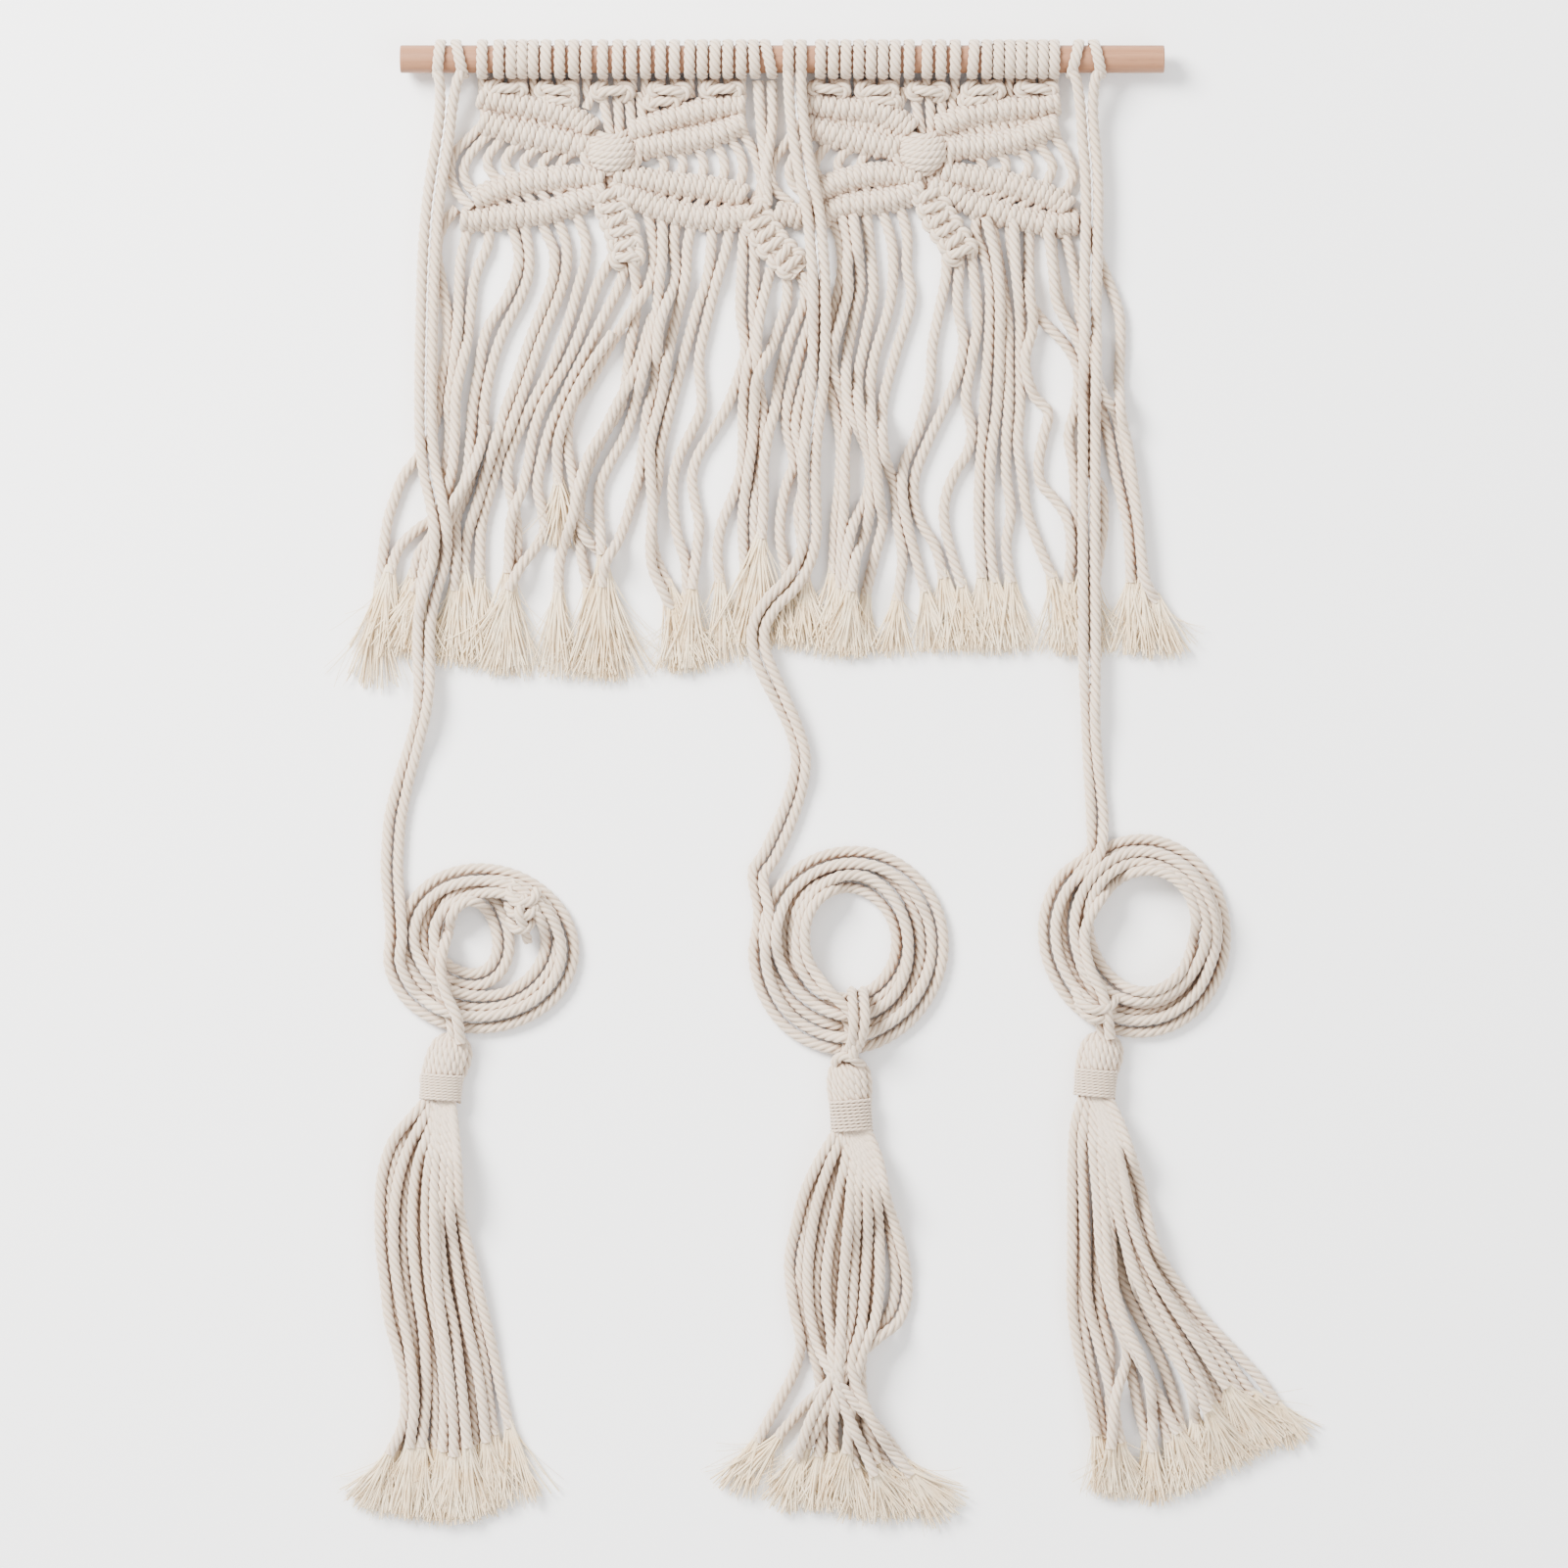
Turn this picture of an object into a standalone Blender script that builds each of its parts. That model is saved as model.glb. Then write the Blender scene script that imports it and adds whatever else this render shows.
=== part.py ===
"""Knotted cotton wall hanging on a wooden dowel, lying flat on its back.

The top of the hanging points to +Y, +Z comes up out of the cloth and the dowel lies along X.
Plan positions are in millimetres from the middle of the dowel: x to the right, y up the hanging.
They hold for a loop that reaches DRAWN_REACH from the middle of the dowel and for a pair of cords
that reaches DRAWN_PAIR to each side; a thicker dowel, loop or cord moves what hangs below it.
"""

import math

import bmesh
import bpy
from mathutils import Vector

MM = 0.001

# Dowel, and the loops of cord that hang the cloth on it
DOWEL_LENGTH = 330.0
DOWEL_RADIUS = 6.0
DOWEL_CHAMFER = 0.4
LOOP_CLEARANCE = 0.35
LOOP_THICKNESS = 2.55
LOOP_GROOVE = 0.9
LOOP_WIDTH = 5.4
LOOP_FACETS = 14
FLOOR_GAP = 0.3
DRAWN_REACH = 8.9

# Cord and knots
CORD_RADIUS = 2.5
CORD_GAP = 0.3
DROP_GAP = 0.4
DRAWN_PAIR = 5.15
BAR_WIDTH = 8.0
BAR_HEIGHT = 7.6
KNOT_ROW_HEIGHT = 9.0
BERRY_HEIGHT = 13.0
BERRY_SIZES = (20.0, 16.6)
SINNET_HEIGHT = 8.0
ARC_WIDTH = 5.6
ARC_HEIGHT = 4.4
FRINGE_HEIGHT = 4.8

# Coils and tassels
COIL_HEIGHT = 10.4
COIL_FACETS = (32, 8)
HEAD_HEIGHT = 13.0
WRAP_HEIGHT = 12.4
SKIRT_HEIGHT = 11.0

COTTON = (0.80, 0.74, 0.66, 1.0)
BEECH = (0.74, 0.50, 0.34, 1.0)

# Middle of each loop along the dowel
LOOPS = {
    "left_drop_loops": (-148.0, -139.5),
    "left_panel_loops": (-129.5, -122.5, -117.0, -112.2, -107.4, -102.0, -96.2, -90.4, -84.4, -77.8,
        -71.4, -65.2, -59.0, -52.7, -46.5, -40.3, -34.5, -29.0, -23.5, -17.9, -12.2, -6.5),
    "middle_drop_loops": (2.5, 8.0),
    "right_panel_loops": (17.0, 22.3, 27.6, 33.0, 38.4, 43.6, 48.9, 55.4, 62.3, 68.5, 75.2, 82.0,
        88.0, 93.2, 98.4, 103.2, 108.0, 112.8, 117.6),
    "right_drop_loops": (126.8, 136.2),
}

# Rows of square knots under the loops: x, y, half width
KNOT_ROWS = {
    "left_knot_row": ((-127, -10.8, 1.2), (-119, -11.1, 1.5), (-107, -12.0, 2.4), (-97, -13.0, 3.5),
        (-85, -13.6, 4.0), (-72, -14.0, 4.4), (-58, -14.0, 4.4), (-46, -13.6, 4.0),
        (-34, -12.7, 3.1), (-14, -11.8, 2.2)),
    "right_knot_row": ((13, -11.4, 1.8), (24, -12.0, 2.4), (36, -12.7, 3.1), (46, -13.5, 4.0),
        (60, -14.0, 4.4), (73, -13.6, 4.0), (86, -12.9, 3.3), (100, -12.3, 2.6), (112, -11.5, 1.8),
        (119, -10.9, 1.3)),
}

# Wings of half hitches round each centre knot: x, y
BARS = {
    "left_wing_top_left_outer": ((-131, -15.9), (-120, -17.9), (-110, -19.7), (-100, -21.7),
        (-91, -24.7), (-84, -28.0)),
    "left_wing_top_left_inner": ((-129, -26.2), (-120, -29.7), (-110, -32.2), (-100, -34.0),
        (-88, -36.2)),
    "left_wing_bottom_left_inner": ((-130, -58.8), (-125, -56.3), (-115, -53.3), (-105, -51.4),
        (-95, -50.5), (-85.2, -50.2)),
    "left_wing_bottom_left_outer": ((-137, -69.0), (-130, -68.4), (-120, -67.6), (-110, -66.5),
        (-100, -65.0), (-92, -62.2), (-84, -59.4)),
    "left_wing_top_right_outer": ((-63, -30.2), (-60, -29.2), (-52, -26.2), (-43, -23.5),
        (-34, -21.2), (-25, -19.8), (-17, -19.1)),
    "left_wing_top_right_inner": ((-55.5, -37.6), (-46, -35.4), (-37, -33.6), (-28, -31.6),
        (-22, -29.4)),
    "left_wing_bottom_right_inner": ((-66, -50.8), (-62, -51.0), (-52, -53.0), (-42, -54.0),
        (-32, -55.0), (-24, -56.6), (-19, -58.4)),
    "left_wing_bottom_right_outer": ((-62, -60.4), (-52, -64.2), (-42, -66.6), (-32, -68.0),
        (-23, -68.0), (-16, -67.0)),
    "right_wing_top_left_outer": ((9, -18.4), (16, -19.2), (26, -20.7), (36, -21.4), (44, -23.0),
        (50, -26.0)),
    "right_wing_top_left_inner": ((11, -28.2), (20, -31.2), (30, -34.0), (40, -36.0), (48, -37.4)),
    "right_wing_bottom_left_inner": ((15, -56.8), (22, -53.4), (32, -50.5), (42, -49.2), (50, -49.4)),
    "right_wing_bottom_left_outer": ((4, -66.8), (10, -66.9), (18, -66.0), (27, -63.4), (36, -61.6),
        (46, -60.2), (52, -58.6)),
    "right_wing_top_right_outer": ((73.5, -26.4), (84, -22.8), (94, -21.2), (104, -20.2),
        (113, -19.0), (120, -17.4)),
    "right_wing_top_right_inner": ((74, -37.8), (82, -37.0), (92, -35.8), (102, -34.0),
        (110, -31.2), (119, -27.4)),
    "right_wing_bottom_right_inner": ((72, -48.6), (80, -49.8), (90, -51.4), (100, -53.9),
        (110, -57.0), (118, -60.2)),
    "right_wing_bottom_right_outer": ((75, -58.6), (82, -62.0), (92, -65.2), (102, -68.0),
        (112, -70.0), (120, -70.4), (126, -69.8)),
}

BERRIES = {"left_berry_knot": (-74.0, -40.0), "right_berry_knot": (61.0, -40.0)}

# Bands of square knots: x, y, half width
SINNETS = {
    "left_sinnet": ((-76, -50.0, 5.0), (-75.6, -58, 5.8), (-72, -68, 6.3), (-69, -76, 6.4),
        (-67, -84, 6.2)),
    "joining_sinnet": ((-8.4, -12.6, 3.2), (-7.6, -28, 3.6), (-6.8, -44, 3.8), (-7.2, -58, 5.2),
        (-6.6, -66, 6.0), (-2.6, -77, 6.2), (2, -85, 6.2), (7, -91, 6.0)),
    "right_sinnet": ((60, -50.0, 5.0), (61, -57, 5.6), (65, -65, 6.0), (70, -73, 6.3),
        (78, -84, 6.2)),
}

# Loose cords that bow out between the upper and lower wings: x, y
ARCS = {
    "left_panel_left_arc": ((-127, -35.0), (-134, -39.0), (-137.4, -46), (-136.2, -51.6),
        (-133.4, -53.6)),
    "left_panel_right_arc": ((-21.6, -37.0), (-18.0, -41.5), (-17.2, -47), (-18.8, -52.0)),
    "right_panel_left_arc": ((12, -36.0), (5.5, -40.5), (2.6, -47), (4.6, -53.4), (8.6, -56.4)),
    "right_panel_right_arc": ((113.5, -36.6), (119, -41), (121.4, -47), (121, -53.4)),
}

# Fringe, in bundles of strands that hang together: x, y, half width
FRINGES = {
    "fringe_1": ((-139.5, -76, 8.3), (-143, -90, 8.5), (-143.6, -105, 6.3), (-143.8, -120, 4.6),
        (-146, -135, 4.6), (-147.5, -150, 5.3), (-150, -165, 7.6), (-155, -180, 9.6),
        (-160.2, -195, 10.6), (-164.8, -210, 9.2), (-168.8, -225, 8.4), (-172.4, -240, 10.0),
        (-175.5, -255, 12.0), (-182.5, -270, 7.5)),
    "fringe_2": ((-108.5, -77, 21.0), (-109, -90, 23.2), (-111.5, -105, 23.6), (-114.5, -120, 22.8),
        (-118.2, -135, 21.4), (-120.5, -150, 19.6), (-121, -165, 19.6), (-122.5, -180, 19.2),
        (-125, -195, 20.4), (-129, -210, 21.0), (-134, -225, 21.2), (-139, -240, 20.0),
        (-140, -255, 18.6), (-140.5, -264, 17.0)),
    "fringe_3": ((-73, -89, 8.6), (-73, -105, 11.4), (-79, -120, 10.2), (-85, -135, 9.6),
        (-89.6, -150, 9.0), (-90, -165, 9.6), (-90.6, -180, 10.2), (-90, -195, 11.6),
        (-89, -210, 14.4), (-91, -225, 17.8), (-94, -240, 21.6), (-95, -255, 22.0),
        (-92, -268, 16.0)),
    "fringe_4": ((-38, -76, 17.0), (-40.5, -90, 15.2), (-42, -105, 13.8), (-43.5, -120, 12.6),
        (-45, -135, 12.8), (-47, -150, 17.6), (-51, -165, 18.6), (-50, -180, 15.0),
        (-50, -195, 15.4), (-50, -210, 15.6), (-46, -225, 11.6), (-42, -240, 13.2),
        (-42, -255, 14.2), (-43.5, -265, 13.0)),
    "fringe_5": ((-14.2, -77, 4.2), (-12.8, -89, 5.8), (-10.5, -98, 8.2), (-5, -108, 13.6),
        (-4, -120, 14.6), (-4, -135, 15.0), (-3, -150, 16.0), (-3, -165, 16.4), (-3, -180, 16.8),
        (-5, -195, 18.6), (-6, -210, 20.6), (-5, -225, 21.4), (0, -240, 19.0), (2.5, -256, 16.0)),
    "fringe_6": ((38, -73, 15.4), (41, -90, 15.4), (41, -105, 15.2), (38.5, -120, 14.8),
        (36.5, -135, 13.2), (35.5, -150, 12.4), (36.5, -165, 12.8), (37, -180, 13.2),
        (37, -195, 13.8), (36, -210, 15.4), (36, -225, 16.6), (38, -240, 16.2), (39.5, -256, 17.0)),
    "fringe_7": ((76, -91, 8.0), (75, -105, 8.6), (74, -120, 8.2), (71.5, -135, 8.8),
        (69, -150, 9.6), (66.4, -165, 11.0), (63.6, -180, 10.2), (62.6, -195, 9.6),
        (63.6, -208, 9.4), (68, -222, 11.6), (72, -238, 13.6), (74, -254, 13.0)),
    "fringe_8": ((93, -77, 8.8), (94.6, -90, 9.2), (95, -105, 9.2), (94, -120, 8.4),
        (93.5, -135, 8.0), (93, -150, 8.4), (93, -165, 9.4), (92.8, -180, 9.8), (94, -195, 9.2),
        (94.6, -210, 8.8), (95.6, -225, 8.2), (96.4, -240, 8.0), (96, -255, 8.0)),
    "fringe_9": ((119, -79, 14.6), (122.4, -95, 16.4), (126.5, -110, 18.8), (127, -125, 19.6),
        (127, -140, 20.0), (128.4, -155, 20.6), (131, -170, 20.8), (133, -185, 21.0),
        (135.6, -200, 21.0), (138, -215, 20.6), (139, -230, 23.4), (141, -245, 26.0),
        (145, -259, 24.0)),
}

# Doubled cords that hang from the dowel over the cloth: x, y, layer the pair lies in
# (0 on the floor, 1 on the fringe, 2 on the knots, and between them on its way from one to the next)
DROPS = {
    "left": ((-144.5, -12.8, 1.43), (-145.2, -21, 1.24), (-146.6, -33, 1.05), (-149, -48, 1),
        (-151, -62, 1), (-152.2, -76, 1), (-153, -90, 1), (-153.4, -104, 1),
        (-153.8, -118, 1), (-154, -132, 1), (-154.2, -146, 1), (-154.4, -160, 1),
        (-154.6, -174, 1), (-154.8, -188, 1), (-155, -202, 1), (-155.1, -216, 1),
        (-155.2, -230, 1), (-155.2, -244, 1), (-155, -257, 1), (-154.8, -270, 0.96),
        (-155.8, -282, 0.43), (-158.4, -293, 0), (-161.6, -304, 0), (-165, -316, 0),
        (-167.7, -329, 0), (-168.7, -342, 0), (-169, -352, 0), (-169.6, -361, 0),
        (-170.6, -369, 0)),
    "middle": ((5.3, -12.8, 2), (6, -21, 2), (7.2, -32, 2), (9, -44, 2),
        (11.4, -56, 2), (13.5, -67, 2), (14.6, -78, 2), (15.5, -90, 1.95), (16, -103, 1.3),
        (16.2, -116, 1), (15.8, -129, 1), (15, -142, 1), (13.4, -155, 1), (12, -168, 1),
        (11.6, -181, 1), (12, -194, 1), (12, -206, 1), (9.4, -217, 1), (3.4, -227, 1),
        (-4.4, -235, 1), (-10, -245, 1), (-9.8, -256, 1.05), (-5.4, -267, 0.92), (0, -278, 0.43),
        (5, -289, 0.08), (8, -301, 0), (6.8, -313, 0), (3, -325, 0), (-1.6, -336, 0),
        (-6, -345, 0), (-10.4, -352, 0)),
    "right": ((131, -12.8, 1.43), (131.6, -22, 1.24), (132.4, -34, 1.07), (133.6, -48, 1),
        (134, -62, 1), (133.8, -76, 1), (133.4, -90, 1), (133.2, -104, 1), (133, -118, 1),
        (132.9, -132, 1), (132.8, -146, 1), (132.7, -160, 1), (132.6, -174, 1),
        (132.6, -188, 1), (132.6, -202, 1), (132.6, -216, 1), (132.7, -230, 1),
        (132.8, -244, 1), (132.8, -257, 1), (133, -269, 0.96), (133.3, -281, 0.43),
        (133.8, -293, 0), (134.6, -305, 0), (135.6, -317, 0), (136.4, -329, 0),
        (136.6, -334.5, 0)),
}

# Coils at the foot of each drop: x, y, outer half sizes, half width of the ring
COILS = {
    "left": ((-129.0, -385.0), (40.0, 37.0), 9.5),
    "middle": ((28.5, -384.0), (44.0, 45.0), 12.0),
    "right": ((154.0, -378.0), (41.0, 43.6), 9.5),
}

# Tassels: where each turns on its tail, then the head, wrap and skirt as x, y, half width
TASSELS = {
    "left": {
        "pivot": (-141.0, -423.2),
        "head": ((-142.5, -425, 6.0), (-145, -428.5, 8.6), (-146, -433, 9.2), (-146.3, -437.6, 9.0)),
        "wrap": ((-146.4, -438.2, 9.2), (-147, -444.5, 8.8), (-147.6, -450.4, 8.6)),
        "skirt": ((-147.8, -452.0, 8.4), (-148.4, -456, 9.6), (-151.8, -465, 13.0),
            (-156.5, -478, 17.4), (-157, -498, 19.6), (-154.6, -520, 20.6), (-150.5, -540, 21.0),
            (-146, -560, 20.6), (-142.5, -580, 20.6), (-141.6, -595, 24.6), (-144, -609, 32.0),
            (-145.5, -621, 34.0), (-148, -631, 22.0), (-149, -637, 14.0)),
    },
    "middle": {
        "pivot": (28.8, -430.4),
        "head": ((28.6, -431.2, 6.3), (28.6, -437.5, 6.8), (28.9, -441, 8.4), (29.1, -445.5, 9.6),
            (29.3, -449.4, 9.6)),
        "wrap": ((29.4, -450.0, 9.2), (29.8, -457, 9.0), (30, -463.4, 8.8)),
        "skirt": ((30, -464.6, 8.6), (29.8, -468, 9.8), (28.8, -476, 13.0), (26.8, -490, 18.4),
            (27, -505, 24.0), (29, -520, 27.8), (29.6, -533, 28.2), (27, -546, 24.0),
            (22, -557, 18.0), (20, -567, 18.4), (17, -578, 25.0), (15.6, -590, 33.0),
            (17.6, -604, 39.0), (19.5, -618, 44.0), (21, -630, 42.0), (22, -638, 36.0)),
    },
    "right": {
        "pivot": (140.4, -422.6),
        "head": ((139.6, -424.2, 6.0), (138, -427.5, 8.6), (137, -432, 9.1), (136.6, -436.4, 8.8)),
        "wrap": ((136.2, -437.9, 8.8), (135.4, -443, 8.6), (134.8, -448.4, 8.4)),
        "skirt": ((134.6, -450.2, 8.2), (134.5, -453, 8.8), (134.8, -461, 11.2), (136, -475, 14.4),
            (138.6, -492, 17.8), (141, -508, 19.6), (145, -524, 22.0), (151, -540, 25.4),
            (158, -554, 29.4), (166, -569, 34.0), (173, -583, 38.6), (178, -597, 43.0),
            (180.6, -611, 45.6)),
    },
}


def clear_scene():
    """Take away whatever the new file holds."""
    for thing in list(bpy.data.objects):
        bpy.data.objects.remove(thing, do_unlink=True)


def make_material(name, colour, roughness):
    """A plain Principled material."""
    material = bpy.data.materials.new(name)
    material.use_nodes = True
    shader = material.node_tree.nodes["Principled BSDF"]
    shader.inputs["Base Color"].default_value = colour
    shader.inputs["Roughness"].default_value = roughness
    material.diffuse_color = colour
    return material


def place_mesh(name, mesh, home, colour, roughness, at=(0.0, 0.0, 0.0), parent=None):
    """Put a mesh into the collection as a named node with a material of its own."""
    mesh.name = name
    mesh.materials.clear()
    mesh.materials.append(make_material(name, colour, roughness))
    node = bpy.data.objects.new(name, mesh)
    node.location = Vector(at) * MM
    node.parent = parent
    home.objects.link(node)
    return node


def make_empty(name, home, at=(0.0, 0.0, 0.0), parent=None):
    """An empty that carries other nodes."""
    empty = bpy.data.objects.new(name, None)
    empty.location = Vector(at) * MM
    empty.empty_display_size = 10 * MM
    empty.parent = parent
    home.objects.link(empty)
    return empty


def tube_mesh(route, home, resolution=2):
    """Closed tube along a route of x, y, z, radius, all in millimetres."""
    curve = bpy.data.curves.new("route", "CURVE")
    curve.dimensions = "3D"
    curve.twist_mode = "Z_UP"
    curve.bevel_depth = MM
    curve.bevel_resolution = resolution
    curve.use_fill_caps = True
    spline = curve.splines.new("POLY")
    spline.points.add(len(route) - 1)
    for point, (x, y, z, radius) in zip(spline.points, route):
        point.co = (x * MM, y * MM, z * MM, 1.0)
        point.radius = radius
    holder = bpy.data.objects.new("route", curve)
    home.objects.link(holder)
    bpy.context.view_layer.update()
    graph = bpy.context.evaluated_depsgraph_get()
    mesh = bpy.data.meshes.new_from_object(holder.evaluated_get(graph))
    bpy.data.objects.remove(holder, do_unlink=True)
    bpy.data.curves.remove(curve)
    close_mesh(mesh)
    return mesh


def close_mesh(mesh):
    """Join the caps to the sides and turn every face outwards."""
    shape = bmesh.new()
    shape.from_mesh(mesh)
    bmesh.ops.remove_doubles(shape, verts=shape.verts, dist=0.0001 * MM)
    bmesh.ops.recalc_face_normals(shape, faces=shape.faces)
    shape.to_mesh(mesh)
    shape.free()


def flat_mesh(route, height, home, away=(0.0, 0.0)):
    """Bundle of cords along x, y, half width, pressed flat to one height about its own middle."""
    mesh = tube_mesh([(x - away[0], y - away[1], 0.0, half) for x, y, half in route], home)
    limit = height / 2 * MM
    for vertex in mesh.vertices:
        vertex.co.z = max(-limit, min(limit, vertex.co.z))
    close_mesh(mesh)
    return mesh


def ring_mesh(half_sizes, half_width, height):
    """Coil of cord as one flattened oval ring."""
    shape = bmesh.new()
    around, across = COIL_FACETS
    ends = []
    for step in range(across):
        turn = 2 * math.pi * step / across
        ends.append(shape.verts.new((1.0 + math.cos(turn) * 0.5, 0.0, math.sin(turn))))
    profile = ends + [shape.edges.new((ends[step], ends[(step + 1) % across])) for step in range(across)]
    bmesh.ops.spin(shape, geom=profile, cent=(0, 0, 0), axis=(0, 0, 1), angle=2 * math.pi,
                   steps=around, use_merge=True)
    for vertex in shape.verts:
        reach = math.hypot(vertex.co.x, vertex.co.y)
        heading = Vector((vertex.co.x, vertex.co.y, 0.0)) / reach
        offset = (reach - 1.0) * 2.0 * half_width
        vertex.co = Vector((heading.x * (half_sizes[0] - half_width + offset),
                            heading.y * (half_sizes[1] - half_width + offset),
                            vertex.co.z * height / 2)) * MM
    bmesh.ops.recalc_face_normals(shape, faces=shape.faces)
    mesh = bpy.data.meshes.new("ring")
    shape.to_mesh(mesh)
    shape.free()
    return mesh


def loop_mesh(centres):
    """Row of cord loops round the dowel, turned as one sleeve with a groove between neighbours."""
    inner = DOWEL_RADIUS + LOOP_CLEARANCE
    outer = inner + LOOP_THICKNESS
    outline = [(centres[0] - LOOP_WIDTH / 2, outer - LOOP_GROOVE)]
    for index, centre in enumerate(centres):
        outline.append((centre, outer))
        after = (centre + centres[index + 1]) / 2 if index + 1 < len(centres) else centre + LOOP_WIDTH / 2
        outline.append((after, outer - LOOP_GROOVE))
    outline += [(outline[-1][0], inner), (outline[0][0], inner)]
    shape = bmesh.new()
    corners = [shape.verts.new((x * MM, 0.0, radius * MM)) for x, radius in outline]
    edges = [shape.edges.new((corner, corners[(index + 1) % len(corners)]))
             for index, corner in enumerate(corners)]
    bmesh.ops.spin(shape, geom=corners + edges, cent=(0, 0, 0), axis=(1, 0, 0), angle=2 * math.pi,
                   steps=LOOP_FACETS, use_merge=True)
    bmesh.ops.recalc_face_normals(shape, faces=shape.faces)
    mesh = bpy.data.meshes.new("loops")
    shape.to_mesh(mesh)
    shape.free()
    return mesh


def dowel_mesh():
    """Round rod along X with its end edges broken."""
    shape = bmesh.new()
    bmesh.ops.create_cone(shape, cap_ends=True, segments=36, radius1=DOWEL_RADIUS * MM,
                          radius2=DOWEL_RADIUS * MM, depth=DOWEL_LENGTH * MM)
    rims = [edge for edge in shape.edges if abs(edge.verts[0].co.z - edge.verts[1].co.z) < 1e-6]
    bmesh.ops.bevel(shape, geom=rims, offset=DOWEL_CHAMFER * MM, affect="EDGES", segments=1, profile=0.5,
                    clamp_overlap=True, material=-1)
    for vertex in shape.verts:
        vertex.co = Vector((vertex.co.z, vertex.co.y, -vertex.co.x))
    bmesh.ops.recalc_face_normals(shape, faces=shape.faces)
    mesh = bpy.data.meshes.new("dowel")
    shape.to_mesh(mesh)
    shape.free()
    return mesh


def berry_mesh():
    """Round knot, a little longer across than down."""
    shape = bmesh.new()
    bmesh.ops.create_uvsphere(shape, u_segments=16, v_segments=10, radius=0.5)
    for vertex in shape.verts:
        vertex.co = Vector((vertex.co.x * BERRY_SIZES[0], vertex.co.y * BERRY_SIZES[1],
                            vertex.co.z * BERRY_HEIGHT)) * MM
    mesh = bpy.data.meshes.new("berry")
    shape.to_mesh(mesh)
    shape.free()
    return mesh


def layer_height(layer):
    """Height of a drop cord's middle in one of the layers that DROPS counts, in millimetres."""
    on_floor = FLOOR_GAP + CORD_GAP + CORD_RADIUS
    on_fringe = FLOOR_GAP + FRINGE_HEIGHT + DROP_GAP + CORD_RADIUS
    on_knots = FLOOR_GAP + max(KNOT_ROW_HEIGHT, SINNET_HEIGHT) + DROP_GAP + CORD_RADIUS
    if layer <= 1:
        return on_floor + (on_fringe - on_floor) * layer
    return on_fringe + (on_knots - on_fringe) * (layer - 1)


def side_routes(route):
    """The two cords of a pair, a cord and a gap apart, either side of the pair's middle."""
    reach = CORD_RADIUS + CORD_GAP / 2
    left, right = [], []
    for index, (x, y, layer) in enumerate(route):
        before = route[max(index - 1, 0)]
        after = route[min(index + 1, len(route) - 1)]
        along = Vector((after[0] - before[0], after[1] - before[1])).normalized()
        across = Vector((along.y, -along.x)) * reach
        height = layer_height(layer)
        left.append((x + across.x, y + across.y, height, CORD_RADIUS))
        right.append((x - across.x, y - across.y, height, CORD_RADIUS))
    return left, right


def build_cloth(home, cloth):
    """The two knotted panels, their fringe and the sinnet between them."""
    flats = [(KNOT_ROWS, KNOT_ROW_HEIGHT), (SINNETS, SINNET_HEIGHT), (FRINGES, FRINGE_HEIGHT)]
    for table, height in flats:
        for name, route in table.items():
            mesh = flat_mesh(route, height, home)
            place_mesh(name, mesh, home, COTTON, 0.9, (0, 0, height / 2 + FLOOR_GAP), cloth)
    for name, route in BARS.items():
        mesh = flat_mesh([(x, y, BAR_WIDTH / 2) for x, y in route], BAR_HEIGHT, home)
        place_mesh(name, mesh, home, COTTON, 0.9, (0, 0, BAR_HEIGHT / 2 + FLOOR_GAP), cloth)
    for name, route in ARCS.items():
        mesh = flat_mesh([(x, y, ARC_WIDTH / 2) for x, y in route], ARC_HEIGHT, home)
        place_mesh(name, mesh, home, COTTON, 0.9, (0, 0, ARC_HEIGHT / 2 + FLOOR_GAP), cloth)
    for name, (x, y) in BERRIES.items():
        place_mesh(name, berry_mesh(), home, COTTON, 0.9, (x, y, BERRY_HEIGHT / 2 + FLOOR_GAP), cloth)


def build_dowel(home, frame):
    """The dowel and the loops round it."""
    height = DOWEL_RADIUS + LOOP_CLEARANCE + LOOP_THICKNESS + FLOOR_GAP
    place_mesh("dowel", dowel_mesh(), home, BEECH, 0.5, (0, 0, height), frame)
    for name, centres in LOOPS.items():
        place_mesh(name, loop_mesh(centres), home, COTTON, 0.9, (0, 0, height), frame)


def build_drops(home, cloth):
    """The three doubled cords, each with an empty at its foot that carries its coil and its tassel."""
    feet = {}
    for side, route in DROPS.items():
        for strand, cord in zip(("_a", "_b"), side_routes(route)):
            place_mesh(f"{side}_drop{strand}", tube_mesh(cord, home), home, COTTON, 0.9, parent=cloth)
        (x, y), half_sizes, half_width = COILS[side]
        away = Vector((x - route[-1][0], y - route[-1][1])).normalized()
        spread = 2 * CORD_RADIUS + CORD_GAP / 2 - DRAWN_PAIR
        feet[side] = make_empty(f"{side}_drop_foot", home, (away.x * spread, away.y * spread, 0.0), cloth)
        mesh = ring_mesh(half_sizes, half_width, COIL_HEIGHT)
        place_mesh(f"{side}_coil", mesh, home, COTTON, 0.9, (x, y, COIL_HEIGHT / 2 + FLOOR_GAP), feet[side])
    return feet


def build_tassels(home, feet):
    """The three tassels, each carried by an empty on the upright axis it swings about."""
    heights = {"head": HEAD_HEIGHT, "wrap": WRAP_HEIGHT, "skirt": SKIRT_HEIGHT}
    for side, tassel in TASSELS.items():
        pivot = tassel["pivot"]
        hinge = make_empty(f"{side}_tassel_hinge", home, (pivot[0], pivot[1], 0.0), feet[side])
        for piece, height in heights.items():
            mesh = flat_mesh(tassel[piece], height, home, pivot)
            place_mesh(f"{side}_tassel_{piece}", mesh, home, COTTON, 0.9,
                       (0, 0, height / 2 + FLOOR_GAP), hinge)


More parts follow.
